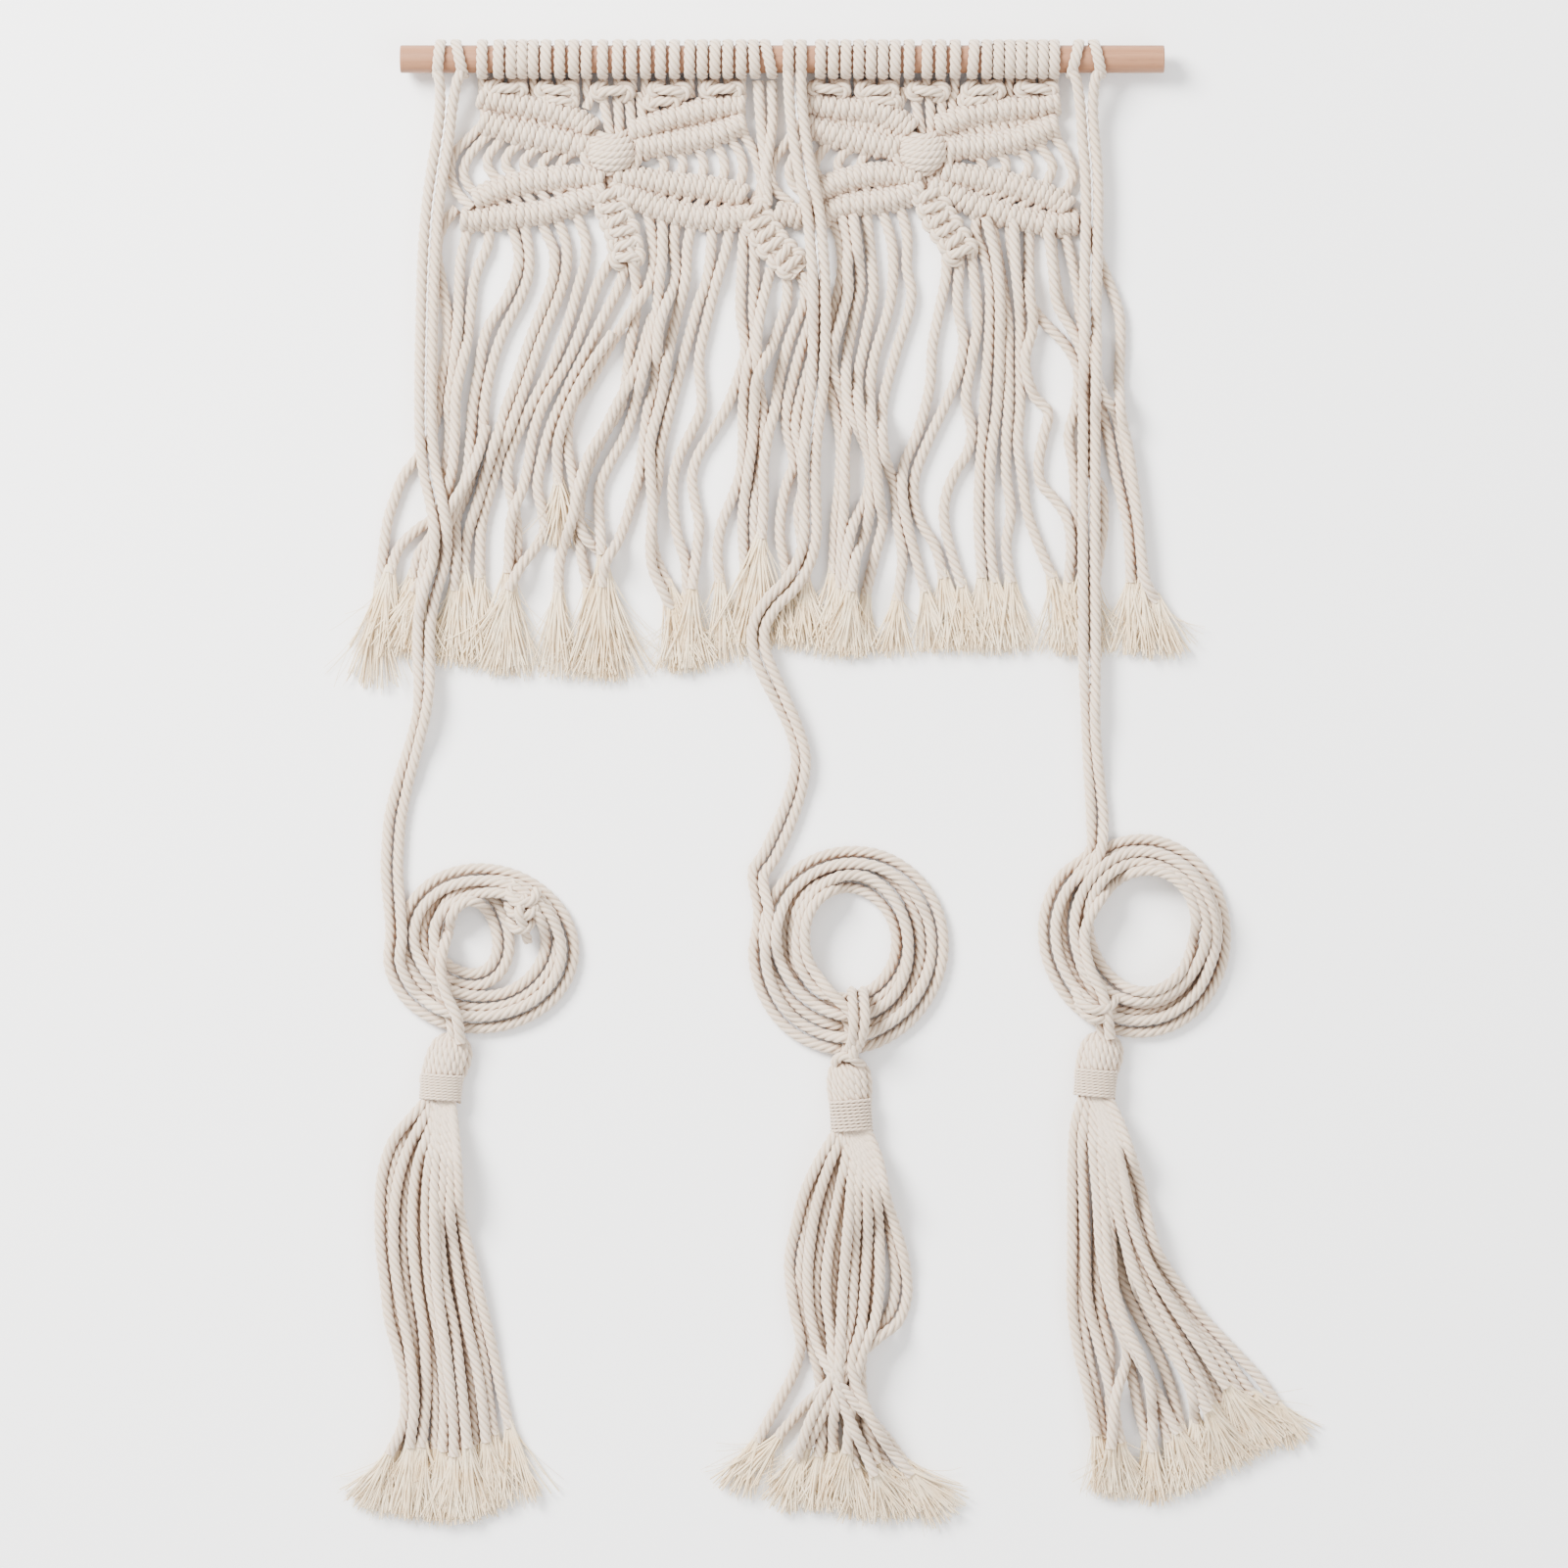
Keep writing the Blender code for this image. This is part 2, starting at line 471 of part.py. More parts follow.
def centre_on_base(frame, home):
    """Move the whole hanging so its origin is under the middle of its box, on the surface it lies on."""
    bpy.context.view_layer.update()
    corners = [node.matrix_world @ vertex.co for node in home.objects if node.type == "MESH"
               for vertex in node.data.vertices]
    low = Vector([min(corner[axis] for corner in corners) for axis in range(3)])
    high = Vector([max(corner[axis] for corner in corners) for axis in range(3)])
    frame.location -= Vector(((low.x + high.x) / 2, (low.y + high.y) / 2, low.z))
    bpy.context.view_layer.update()


def main():
    """Build the hanging."""
    clear_scene()
    home = bpy.data.collections.new("wall_hanging")
    bpy.context.scene.collection.children.link(home)
    frame = make_empty("hanging_frame", home)
    reach = DOWEL_RADIUS + LOOP_CLEARANCE + LOOP_THICKNESS
    cloth = make_empty("cloth", home, (0.0, DRAWN_REACH - reach, 0.0), frame)
    build_dowel(home, frame)
    build_cloth(home, cloth)
    build_tassels(home, build_drops(home, cloth))
    centre_on_base(frame, home)


main()
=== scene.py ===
"""Looks of the knotted cotton wall hanging: twisted cords, knots, frayed ends and a beech dowel.

Plan positions are in millimetres from the middle of the dowel, x to the right and y up the
hanging, with heights above the surface that the hanging lies on. PLAN_ORIGIN carries them to
the shared frame.
"""
import logging
import math
from collections.abc import Sequence
from dataclasses import dataclass, field
from enum import Enum

import bmesh
import bpy
import numpy as np
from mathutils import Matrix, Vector


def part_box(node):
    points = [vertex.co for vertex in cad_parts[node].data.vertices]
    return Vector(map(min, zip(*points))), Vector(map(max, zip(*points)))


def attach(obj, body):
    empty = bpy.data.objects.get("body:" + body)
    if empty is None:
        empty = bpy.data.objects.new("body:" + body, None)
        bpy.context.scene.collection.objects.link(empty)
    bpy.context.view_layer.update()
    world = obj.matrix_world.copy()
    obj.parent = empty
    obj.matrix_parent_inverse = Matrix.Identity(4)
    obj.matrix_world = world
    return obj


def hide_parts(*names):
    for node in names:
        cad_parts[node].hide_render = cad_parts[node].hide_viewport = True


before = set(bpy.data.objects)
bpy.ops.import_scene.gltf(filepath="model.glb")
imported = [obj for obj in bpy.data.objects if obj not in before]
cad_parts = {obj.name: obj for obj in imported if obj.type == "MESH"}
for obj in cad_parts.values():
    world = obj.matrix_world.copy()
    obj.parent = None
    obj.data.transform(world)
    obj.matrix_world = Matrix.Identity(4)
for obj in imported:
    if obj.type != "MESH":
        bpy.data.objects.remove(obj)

logging.basicConfig(level=logging.INFO, format="%(message)s")
LOG = logging.getLogger("wall_hanging")

MM = 0.001
FULL_TURN = 2 * math.pi
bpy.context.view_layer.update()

Point = tuple[float, float]
Route = tuple[Point, ...]
Solid = tuple[tuple[float, float, float], ...]
Colour = tuple[float, float, float, float]
Socket = bpy.types.NodeSocket


def dowel_middle() -> np.ndarray:
    """Middle of the dowel, which the plan positions are measured from.

    Returns:
        The plan's origin in the frame's metres, on the surface that the hanging lies on.
    """
    low, high = (np.array(corner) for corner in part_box("dowel"))
    middle = (low + high) / 2
    return np.array([middle[0], middle[1], 0.0])


PLAN_ORIGIN = dowel_middle()
AXLE_HEIGHT = 8.9
ON_FLOOR = 2.45


class Hand(Enum):
    """Side of a pair or of a knot, or the way round that a cord is twisted."""

    LEFT = -1
    RIGHT = 1


@dataclass(frozen=True)
class CordStyle:
    """Size and twist of one kind of cord, in millimetres.

    The valley and flank are radii of its outline between and beside the strands, as shares of
    the whole radius. The step is the distance between the points of its middle line.
    """

    radius: float = 2.5
    strands: int = 4
    pitch: float = 16.0
    step: float = 1.5
    valley: float = 0.70
    flank: float = 0.91
    lay: Hand = Hand.LEFT


COTTON_CORD = CordStyle()
TIGHT_CORD = CordStyle(radius=2.3, step=1.35)
HITCH_CORD = CordStyle(radius=2.1, pitch=11.0, step=1.3, valley=0.80, flank=0.94)
BINDING_YARN = CordStyle(radius=0.8, strands=2, pitch=5.0, step=1.0)


@dataclass
class Cord:
    """One cord: its smoothed points in millimetres and what it is made of."""

    points: np.ndarray
    style: CordStyle = COTTON_CORD
    turn: float = 0.0

    def length(self) -> float:
        """Length along the cord, in millimetres."""
        return float(np.linalg.norm(np.diff(self.points, axis=0), axis=1).sum())


def smooth_route(points: Sequence | np.ndarray, step: float) -> np.ndarray:
    """Smooth curve through a route's own points, with even steps along it.

    Args:
        points: The route's points, each with two or three coordinates.
        step: Distance between the returned points.

    Returns:
        The evenly spaced points, one row each.
    """
    span_samples = 14
    keys = np.array(points, dtype=float)
    if len(keys) == 2:
        keys = np.array([keys[0], (keys[0] + keys[1]) / 2, keys[1]])
    keys = np.vstack([2 * keys[0] - keys[1], keys, 2 * keys[-1] - keys[-2]])
    spans = np.sqrt(np.linalg.norm(np.diff(keys, axis=0), axis=1)) + 1e-9
    knots = np.concatenate([[0.0], np.cumsum(spans)])
    pieces = []
    for index in range(1, len(keys) - 2):
        at = np.linspace(knots[index], knots[index + 1], span_samples, endpoint=False)[:, None]
        layer, time = list(keys[index - 1:index + 3]), knots[index - 1:index + 3]
        for reach in (1, 2):
            layer = [layer[n] * (time[n + reach] - at) / (time[n + reach] - time[n])
                     + layer[n + 1] * (at - time[n]) / (time[n + reach] - time[n])
                     for n in range(len(layer) - 1)]
        pieces.append(layer[0] * (time[2] - at) / (time[2] - time[1])
                      + layer[1] * (at - time[1]) / (time[2] - time[1]))
    dense = np.vstack(pieces + [keys[-2][None, :]])
    along = np.concatenate([[0.0], np.cumsum(np.linalg.norm(np.diff(dense, axis=0), axis=1))])
    count = max(3, int(round(along[-1] / step)) + 1)
    stops = np.linspace(0.0, along[-1], count)
    return np.column_stack([np.interp(stops, along, dense[:, axis]) for axis in range(dense.shape[1])])


class Pile:
    """Heap of cords on the floor, kept as a map of how high each spot is.

    CELL is the size of the map's cells and LOW and HIGH are the corners of the plan it covers.
    Cords are pressed together above LOOSE, so that none lies above MOST.
    """

    CELL = 0.5
    LOW = (-215.0, -665.0)
    HIGH = (245.0, 35.0)
    LOOSE = 9.0
    MOST = 18.0
    BARE = -100.0

    def __init__(self, reach: float = 2.2) -> None:
        """Start with a bare floor.

        Args:
            reach: Radius, in millimetres, that one cord keeps another away by.
        """
        size = [int((high - low) / self.CELL) for low, high in zip(self.LOW, self.HIGH)]
        self.top = np.zeros(size, dtype=np.float32)
        cells = int(math.ceil(reach / self.CELL))
        span = np.arange(-cells, cells + 1) * self.CELL
        across, up = np.meshgrid(span, span, indexing="ij")
        inside = reach ** 2 - across ** 2 - up ** 2
        self.cells = cells
        self.dome = np.where(inside > 0, np.sqrt(np.maximum(inside, 0.0)), self.BARE).astype(np.float32)

    def window(self, x: float, y: float) -> tuple[slice, slice]:
        """Cells of the map round one spot.

        Args:
            x: Place of the spot across.
            y: Place of the spot up the hanging.

        Returns:
            The columns and rows of the cells.
        """
        column = int(round((x - self.LOW[0]) / self.CELL))
        row = int(round((y - self.LOW[1]) / self.CELL))
        return (slice(column - self.cells, column + self.cells + 1),
                slice(row - self.cells, row + self.cells + 1))

    def rest_height(self, x: float, y: float, floor: float) -> float:
        """Height at which a cord's middle comes to rest over a spot.

        Args:
            x: Place of the spot across.
            y: Place of the spot up the hanging.
            floor: Height of a cord that lies on the floor.

        Returns:
            The height, pressed down where the heap is deep.
        """
        height = max(floor, float((self.top[self.window(x, y)] + self.dome).max()))
        if height <= self.LOOSE:
            return height
        room = self.MOST - self.LOOSE
        return self.LOOSE + room * (1 - math.exp((self.LOOSE - height) / room))

    def add(self, points: Sequence | np.ndarray) -> None:
        """Put cord on the map.

        Args:
            points: Plan places and heights of its middle line.
        """
        for x, y, height in points:
            spot = self.window(x, y)
            np.maximum(self.top[spot], height + self.dome, out=self.top[spot])

    def lay(self, flat: np.ndarray, floor: float = ON_FLOOR, lag: int = 8,
            least: np.ndarray | None = None) -> np.ndarray:
        """Lay a cord on what is there already, its own earlier turns included.

        Args:
            flat: The cord's evenly spaced plan points.
            floor: Height of its middle where it lies on the floor.
            lag: Steps after which the cord's own earlier length carries it.
            least: Heights that the cord is held at or above, or None.

        Returns:
            The points with heights.
        """
        before = self.top.copy()
        heights = np.empty(len(flat))
        for index, (x, y) in enumerate(flat):
            if index >= lag:
                self.add([(*flat[index - lag], heights[index - lag])])
            heights[index] = self.rest_height(x, y, floor)
        if least is not None:
            heights = np.maximum(heights, least)
        spread, smoothing = 2, 4
        raised = np.array([heights[max(0, i - spread):i + spread + 1].max() for i in range(len(heights))])
        weights = np.exp(-0.5 * (np.arange(-smoothing, smoothing + 1) / spread) ** 2)
        padded = np.pad(raised, smoothing, mode="edge")
        self.top = before
        laid = np.column_stack([flat, np.convolve(padded, weights / weights.sum(), mode="valid")])
        self.add(laid)
        return laid


def new_curve(name: str) -> bpy.types.Curve:
    """An empty curve in space.

    Args:
        name: Name of the curve.

    Returns:
        The curve.
    """
    curve = bpy.data.curves.new(name, "CURVE")
    curve.dimensions = "3D"
    return curve


def add_spline(curve: bpy.types.Curve, points: np.ndarray, radii: np.ndarray) -> bpy.types.Spline:
    """Add a line to a curve.

    Args:
        curve: The curve.
        points: The line's points, in millimetres of the plan.
        radii: The curve's radius at each.

    Returns:
        The new spline, in the frame's metres.
    """
    spline = curve.splines.new("POLY")
    spline.points.add(len(points) - 1)
    places = np.ones((len(points), 4))
    places[:, :3] = points * MM + PLAN_ORIGIN
    spline.points.foreach_set("co", places.ravel())
    spline.points.foreach_set("radius", radii)
    return spline


def curve_holder(curve: bpy.types.Curve) -> bpy.types.Object:
    """Object that holds a curve in the scene.

    Args:
        curve: The curve.

    Returns:
        The object.
    """
    holder = bpy.data.objects.new(curve.name, curve)
    bpy.context.scene.collection.objects.link(holder)
    return holder


def drop_curve(holder: bpy.types.Object) -> None:
    """Remove a curve and the object that holds it."""
    curve = holder.data
    bpy.data.objects.remove(holder, do_unlink=True)
    bpy.data.curves.remove(curve)


def curve_mesh(curve: bpy.types.Curve) -> bpy.types.Mesh:
    """Mesh of a curve, which is used up.

    Args:
        curve: The curve.

    Returns:
        The mesh.
    """
    holder = curve_holder(curve)
    graph = bpy.context.evaluated_depsgraph_get()
    mesh = bpy.data.meshes.new_from_object(holder.evaluated_get(graph))
    drop_curve(holder)
    return mesh


def finish_piece(name: str, meshes: list[bpy.types.Mesh], material: bpy.types.Material) -> bpy.types.Object:
    """Join meshes to one smooth, named object with one material.

    Args:
        name: Name of the piece.
        meshes: Its parts, which are used up.
        material: Its finish.

    Returns:
        The piece, at the origin with its place in its mesh.
    """
    shape = bmesh.new()
    for part in meshes:
        shape.from_mesh(part)
        bpy.data.meshes.remove(part)
    for face in shape.faces:
        face.smooth = True
    mesh = bpy.data.meshes.new(name)
    shape.to_mesh(mesh)
    shape.free()
    mesh.materials.clear()
    mesh.materials.append(material)
    piece = bpy.data.objects.new(name, mesh)
    bpy.context.scene.collection.objects.link(piece)
    LOG.info("%s: %d faces", name, len(mesh.polygons))
    return piece


class CordMaker:
    """Sweeps a lobed outline along cords, so that each shows its twisted strands."""

    def __init__(self, seed: int = 7) -> None:
        """Prepare the random turns that keep neighbouring cords from matching.

        Args:
            seed: Start of the random draws.
        """
        self.chance = np.random.default_rng(seed)

    def outline(self, style: CordStyle) -> bpy.types.Object:
        """Closed cross-section with one lobe for each strand, of unit radius.

        Args:
            style: The cord's size and twist.

        Returns:
            A curve object to bevel with.
        """
        reach = (style.valley, style.flank, 1.0, style.flank)
        curve = bpy.data.curves.new("cord_outline", "CURVE")
        curve.dimensions = "2D"
        spline = curve.splines.new("POLY")
        count = style.strands * len(reach)
        spline.points.add(count - 1)
        spline.use_cyclic_u = True
        for index in range(count):
            angle = FULL_TURN * index / count
            radius = reach[index % len(reach)]
            spline.points[index].co = (radius * math.cos(angle), radius * math.sin(angle), 0.0, 1.0)
        return curve_holder(curve)

    def swept(self, cord: Cord, outline: bpy.types.Object) -> bpy.types.Mesh:
        """Mesh of one cord, with its UV map running along it in turns of the twist and then round it.

        Args:
            cord: The cord to sweep.
            outline: Its cross-section.

        Returns:
            The mesh, in the frame's metres.
        """
        curve = new_curve("cord")
        curve.twist_mode = "MINIMUM"
        curve.bevel_mode = "OBJECT"
        curve.bevel_object = outline
        curve.use_fill_caps = True
        count = len(cord.points)
        spline = add_spline(curve, cord.points, np.full(count, cord.style.radius * MM))
        twist_turns = cord.length() / cord.style.pitch
        turn = FULL_TURN * twist_turns * cord.style.lay.value
        spline.points.foreach_set("tilt", cord.turn + np.linspace(0.0, turn, count))
        mesh = curve_mesh(curve)
        layer = mesh.uv_layers[0].data
        places = np.empty(len(layer) * 2)
        layer.foreach_get("uv", places)
        places[0::2] *= twist_turns
        layer.foreach_set("uv", places)
        return mesh

    def piece(self, name: str, cords: list[Cord], material: bpy.types.Material) -> bpy.types.Object:
        """One finished piece made of several cords.

        Args:
            name: Name of the piece.
            cords: The cords in it.
            material: Its finish.

        Returns:
            The piece.
        """
        meshes = []
        outlines: dict[CordStyle, bpy.types.Object] = {}
        for cord in cords:
            if cord.style not in outlines:
                outlines[cord.style] = self.outline(cord.style)
            cord.turn += self.chance.uniform(0.0, FULL_TURN)
            meshes.append(self.swept(cord, outlines[cord.style]))
        for holder in outlines.values():
            drop_curve(holder)
        return finish_piece(name, meshes, material)


@dataclass(frozen=True)
class Yarn:
    """One sort of loose yarn in a frayed end, in millimetres."""

    count: int
    radius: float
    reach: float
    curl: float


@dataclass
class FrayMaker:
    """Grows frayed ends as bundles of thin curves: yarns that fan out and fibres among them.

    Hairs start inside the cord, as far as core from its middle, pressed by flatness and hidden
    for a short length. Their lengths vary by spread and the heights that they make for by tops.
    """

    seed: int = 21
    steps: int = 7
    sorts: tuple[Yarn, ...] = (Yarn(38, 0.62, 1.0, 0.05), Yarn(26, 0.18, 1.06, 0.11))
    core: float = 1.9
    flatness: tuple[float, float] = (0.6, 0.8)
    hidden: float = 3.0
    spread: tuple[float, float] = (0.90, 1.03)
    tops: tuple[float, float] = (0.4, 6.0)
    tip: float = 0.45
    lowest: float = 0.25
    ripple: float = 0.25
    wander: tuple[float, float, float] = (0.55, 0.75, 0.30)
    hairs: list[tuple[np.ndarray, float]] = field(default_factory=list)

    def __post_init__(self) -> None:
        """Start the random draws."""
        self.chance = np.random.default_rng(self.seed)

    def hair(self, start: np.ndarray, heading: float, length: float, sort: Yarn, top: float) -> None:
        """One hair that wanders away from the end of a cord.

        Args:
            start: Where it leaves the cord, in millimetres.
            heading: Its direction in plan, in radians.
            length: Its length in millimetres.
            sort: What it is made of.
            top: Height it makes for.
        """
        points = [start]
        shake, keep, drift = self.wander
        bend = self.chance.normal(0.0, sort.curl)
        for index in range(self.steps):
            heading += bend + self.chance.normal(0.0, sort.curl * shake)
            bend = bend * keep + self.chance.normal(0.0, sort.curl * drift)
            stride = length / self.steps
            share = (index + 1) / self.steps
            height = start[2] + (top - start[2]) * share + self.chance.normal(0.0, self.ripple)
            points.append(np.array([points[-1][0] + math.cos(heading) * stride,
                                    points[-1][1] + math.sin(heading) * stride,
                                    max(self.lowest, height)]))
        self.hairs.append((np.array(points), sort.radius))

    def fray(self, end: np.ndarray, heading: float, length: float, fan: float) -> None:
        """Fray one cord end.

        Args:
            end: End of the cord, in millimetres.
            heading: Direction of the cord in plan, in radians.
            length: Length of the frayed part.
            fan: How far it fans out, in radians.
        """
        for sort in self.sorts:
            for _ in range(sort.count):
                angle = self.chance.uniform(0.0, FULL_TURN)
                out = math.sqrt(self.chance.uniform(0.0, 1.0)) * self.core
                start = end + np.array([math.cos(angle) * out, math.sin(angle) * out * self.flatness[0],
                                        math.sin(angle) * out * self.flatness[1]])
                start -= np.array([math.cos(heading), math.sin(heading), 0.0]) * self.hidden
                start[2] = max(0.5, start[2])
                side = self.chance.normal(0.0, fan)
                run = length * sort.reach * self.chance.uniform(*self.spread)
                self.hair(start, heading + side, run, sort, self.chance.uniform(*self.tops))

    def piece(self, name: str, material: bpy.types.Material) -> bpy.types.Object:
        """All the hairs grown so far, as one piece.

        Args:
            name: Name of the piece.
            material: Its finish.

        Returns:
            The piece.
        """
        curve = new_curve(name)
        curve.bevel_depth = MM
        curve.bevel_resolution = 0
        for points, radius in self.hairs:
            add_spline(curve, points, np.linspace(radius, radius * self.tip, len(points)))
        return finish_piece(name, [curve_mesh(curve)], material)


@dataclass(frozen=True)
class Finish:
    """A procedural finish: its name and how it fills a node tree."""

    name: str

    def build(self) -> bpy.types.Material:
        """Make the material.

        Returns:
            The finished material.
        """
        material = bpy.data.materials.new(self.name)
        material.use_nodes = True
        self.fill(material.node_tree, material.node_tree.nodes["Principled BSDF"])
        return material

    def fill(self, tree: bpy.types.NodeTree, shader: bpy.types.Node) -> None:
        """Wire up the shader; each finish has its own way.

        Args:
            tree: The node tree.
            shader: Its surface shader.
        """
        raise NotImplementedError

    @staticmethod
    def feed(tree: bpy.types.NodeTree, socket: Socket, value: Socket | float | Colour) -> None:
        """Link an input socket to an output, or set its value.

        Args:
            tree: The node tree.
            socket: The input.
            value: The output or the value.
        """
        if isinstance(value, Socket):
            tree.links.new(value, socket)
        else:
            socket.default_value = value

    def node(self, tree: bpy.types.NodeTree, kind: str, settings: dict | None = None,
             **inputs: Socket | float | Colour) -> bpy.types.Node:
        """Add a node and set or link its inputs.

        Args:
            tree: The node tree.
            kind: The node's type.
            settings: Properties to set on the node itself.
            **inputs: Values or output sockets, by input name with _ for a space.

        Returns:
            The node.
        """
        made = tree.nodes.new(kind)
        for key, value in (settings or {}).items():
            setattr(made, key, value)
        for key, value in inputs.items():
            self.feed(tree, made.inputs[key.replace("_", " ")], value)
        return made

    def noise(self, tree: bpy.types.NodeTree, vector: Socket, scale: float, detail: float,
              roughness: float = 0.5, distortion: float = 0.0) -> Socket:
        """Noise over a pattern's coordinates.

        Args:
            tree: The node tree.
            vector: The coordinates.
            scale: How fine the noise is.
            detail: How many finer layers it has.
            roughness: How strong those are.
            distortion: How far it is bent.

        Returns:
            The noise's value.
        """
        return self.node(tree, "ShaderNodeTexNoise", Vector=vector, Scale=scale, Detail=detail,
                         Roughness=roughness, Distortion=distortion).outputs[0]

    def ramp(self, tree: bpy.types.NodeTree, value: Socket, low: float, high: float,
             first: float = 0.0, last: float = 1.0, smooth: bool = False) -> Socket:
        """Carry one range of values to another.

        Args:
            tree: The node tree.
            value: The value.
            low: Value that becomes the first.
            high: Value that becomes the last.
            first: Start of the new range.
            last: End of the new range.
            smooth: Whether the ramp eases in and out.

        Returns:
            The new value.
        """
        kind = "SMOOTHSTEP" if smooth else "LINEAR"
        return self.node(tree, "ShaderNodeMapRange", {"interpolation_type": kind}, Value=value,
                         From_Min=low, From_Max=high, To_Min=first, To_Max=last).outputs[0]

    def stretched(self, tree: bpy.types.NodeTree, vector: Socket,
                  scale: tuple[float, float, float]) -> Socket:
        """A pattern's coordinates, scaled along each axis.

        Args:
            tree: The node tree.
            vector: The coordinates.
            scale: The scale along each axis.

        Returns:
            The scaled coordinates.
        """
        return self.node(tree, "ShaderNodeMapping", Vector=vector, Scale=scale).outputs[0]

    def worked(self, tree: bpy.types.NodeTree, operation: str, first: Socket, second: Socket | float = 0.0
               ) -> Socket:
        """Work out a value from one or two others.

        Args:
            tree: The node tree.
            operation: What to do with them.
            first: The first value.
            second: The second value, where it takes one.

        Returns:
            The result.
        """
        made = self.node(tree, "ShaderNodeMath", {"operation": operation})
        self.feed(tree, made.inputs[0], first)
        self.feed(tree, made.inputs[1], second)
        return made.outputs[0]

    def blend(self, tree: bpy.types.NodeTree, share: Socket | float, first: Socket | Colour,
              second: Socket | Colour, mode: str = "MIX") -> Socket:
        """Mix two colours by a share.

        Args:
            tree: The node tree.
            share: Share of the second colour.
            first: The first colour.
            second: The second colour.
            mode: How they are mixed.

        Returns:
            The mixed colour.
        """
        mix = self.node(tree, "ShaderNodeMix", {"data_type": "RGBA", "blend_type": mode})
        for index, value in ((0, share), (6, first), (7, second)):
            self.feed(tree, mix.inputs[index], value)
        return mix.outputs[2]

    def coat(self, tree: bpy.types.NodeTree, shader: bpy.types.Node, colour: Socket, relief: Socket,
             strength: float, depth: float, **values: float) -> None:
        """Give the shader its colour, its relief and its even values.

        Args:
            tree: The node tree.
            shader: The surface shader.
            colour: The colour.
            relief: The height pattern.
            strength: How strongly the relief shows.
            depth: Its depth in metres.
            **values: Even values, by input name with _ for a space.
        """
        tree.links.new(colour, shader.inputs["Base Color"])
        bump = self.node(tree, "ShaderNodeBump", Height=relief, Strength=strength, Distance=depth)
        tree.links.new(bump.outputs[0], shader.inputs["Normal"])
        for key, value in values.items():
            shader.inputs[key.replace("_", " ")].default_value = value


@dataclass(frozen=True)
class CottonFinish(Finish):
    """Twisted cotton: pale ridges, painted warm shade in the valleys and crevices, fine yarn lines and a soft
    nap.
    """

    ridge: Colour = (0.70, 0.575, 0.455, 1.0)
    # valley: painted shade, the darker warm colour laid into the grooves between the strands
    valley: Colour = (0.50, 0.37, 0.255, 1.0)
    tint: Colour = (0.64, 0.49, 0.345, 1.0)
    # painted shade: warm dark colour laid where ambient occlusion finds the cord closed in
    painted_crevice_shade: Colour = (0.25, 0.125, 0.06, 1.0)
    shade_reach: float = 0.0055
    strands: int = 4
    yarn_lines: float = 26.0

    def shade(self, tree: bpy.types.NodeTree, colour: Socket) -> Socket:
        """Paint warm, dark shade into a colour where the surface is closed in by its neighbours.

        Args:
            tree: The node tree.
            colour: The colour.

        Returns:
            The shaded colour.
        """
        # Ambient occlusion drives the painted shade in the crevices between cords
        closed = self.node(tree, "ShaderNodeAmbientOcclusion", {"samples": 6}, Distance=self.shade_reach)
        share = self.ramp(tree, closed.outputs["AO"], 0.10, 0.62, smooth=True)
        return self.blend(tree, share, self.painted_crevice_shade, colour)

    def fill(self, tree: bpy.types.NodeTree, shader: bpy.types.Node) -> None:
        """Follow the twist by the UV map to paint shade into the grooves between strands, and vary the colour
        over the object.

        Args:
            tree: The node tree.
            shader: Its surface shader.
        """
        around = self.node(tree, "ShaderNodeUVMap", {"uv_map": "UVMap"}).outputs[0]
        place = self.node(tree, "ShaderNodeTexCoord").outputs["Object"]
        split = self.node(tree, "ShaderNodeSeparateXYZ", Vector=around)
        lobes = self.worked(tree, "MULTIPLY", split.outputs[1], FULL_TURN * self.strands)
        # low masks the grooves between strands, where the valley colour paints shade
        low = self.ramp(tree, self.worked(tree, "COSINE", lobes), 0.15, 1.0, smooth=True)
        yarn = self.noise(tree, self.stretched(tree, around, (3.0, self.yarn_lines, 1.0)), 1.0, 5.0, 0.65)
        nap = self.noise(tree, place, 1900.0, 3.0, 0.7)
        warm = self.ramp(tree, self.noise(tree, place, 38.0, 3.0, 0.6), 0.35, 0.75, last=0.55)
        body = self.blend(tree, warm, self.ridge, self.tint)
        body = self.blend(tree, 1.0, body, self.ramp(tree, yarn, 0.30, 0.70, 0.84, 1.04), "MULTIPLY")
        colour = self.shade(tree, self.blend(tree, low, body, self.valley))
        self.coat(tree, shader, colour, self.worked(tree, "ADD", yarn, nap), 0.35, 0.0006, Roughness=0.9,
                  Specular_IOR_Level=0.15, Sheen_Weight=0.35, Sheen_Roughness=0.6)


@dataclass(frozen=True)
class FrayedFinish(Finish):
    """Opened cotton yarn, a little yellower than the cord."""

    light: Colour = (0.80, 0.67, 0.48, 1.0)
    deep: Colour = (0.72, 0.54, 0.31, 1.0)

    def fill(self, tree: bpy.types.NodeTree, shader: bpy.types.Node) -> None:
        """Vary the yarn from place to place.

        Args:
            tree: The node tree.
            shader: Its surface shader.
        """
        place = self.node(tree, "ShaderNodeTexCoord").outputs["Object"]
        share = self.ramp(tree, self.noise(tree, place, 90.0, 4.0, 0.6), 0.35, 0.7, last=0.9)
        colour = self.blend(tree, share, self.light, self.deep)
        self.coat(tree, shader, colour, self.noise(tree, place, 1500.0, 3.0, 0.7), 0.3, 0.0003,
                  Roughness=0.85, Specular_IOR_Level=0.15, Sheen_Weight=0.4)


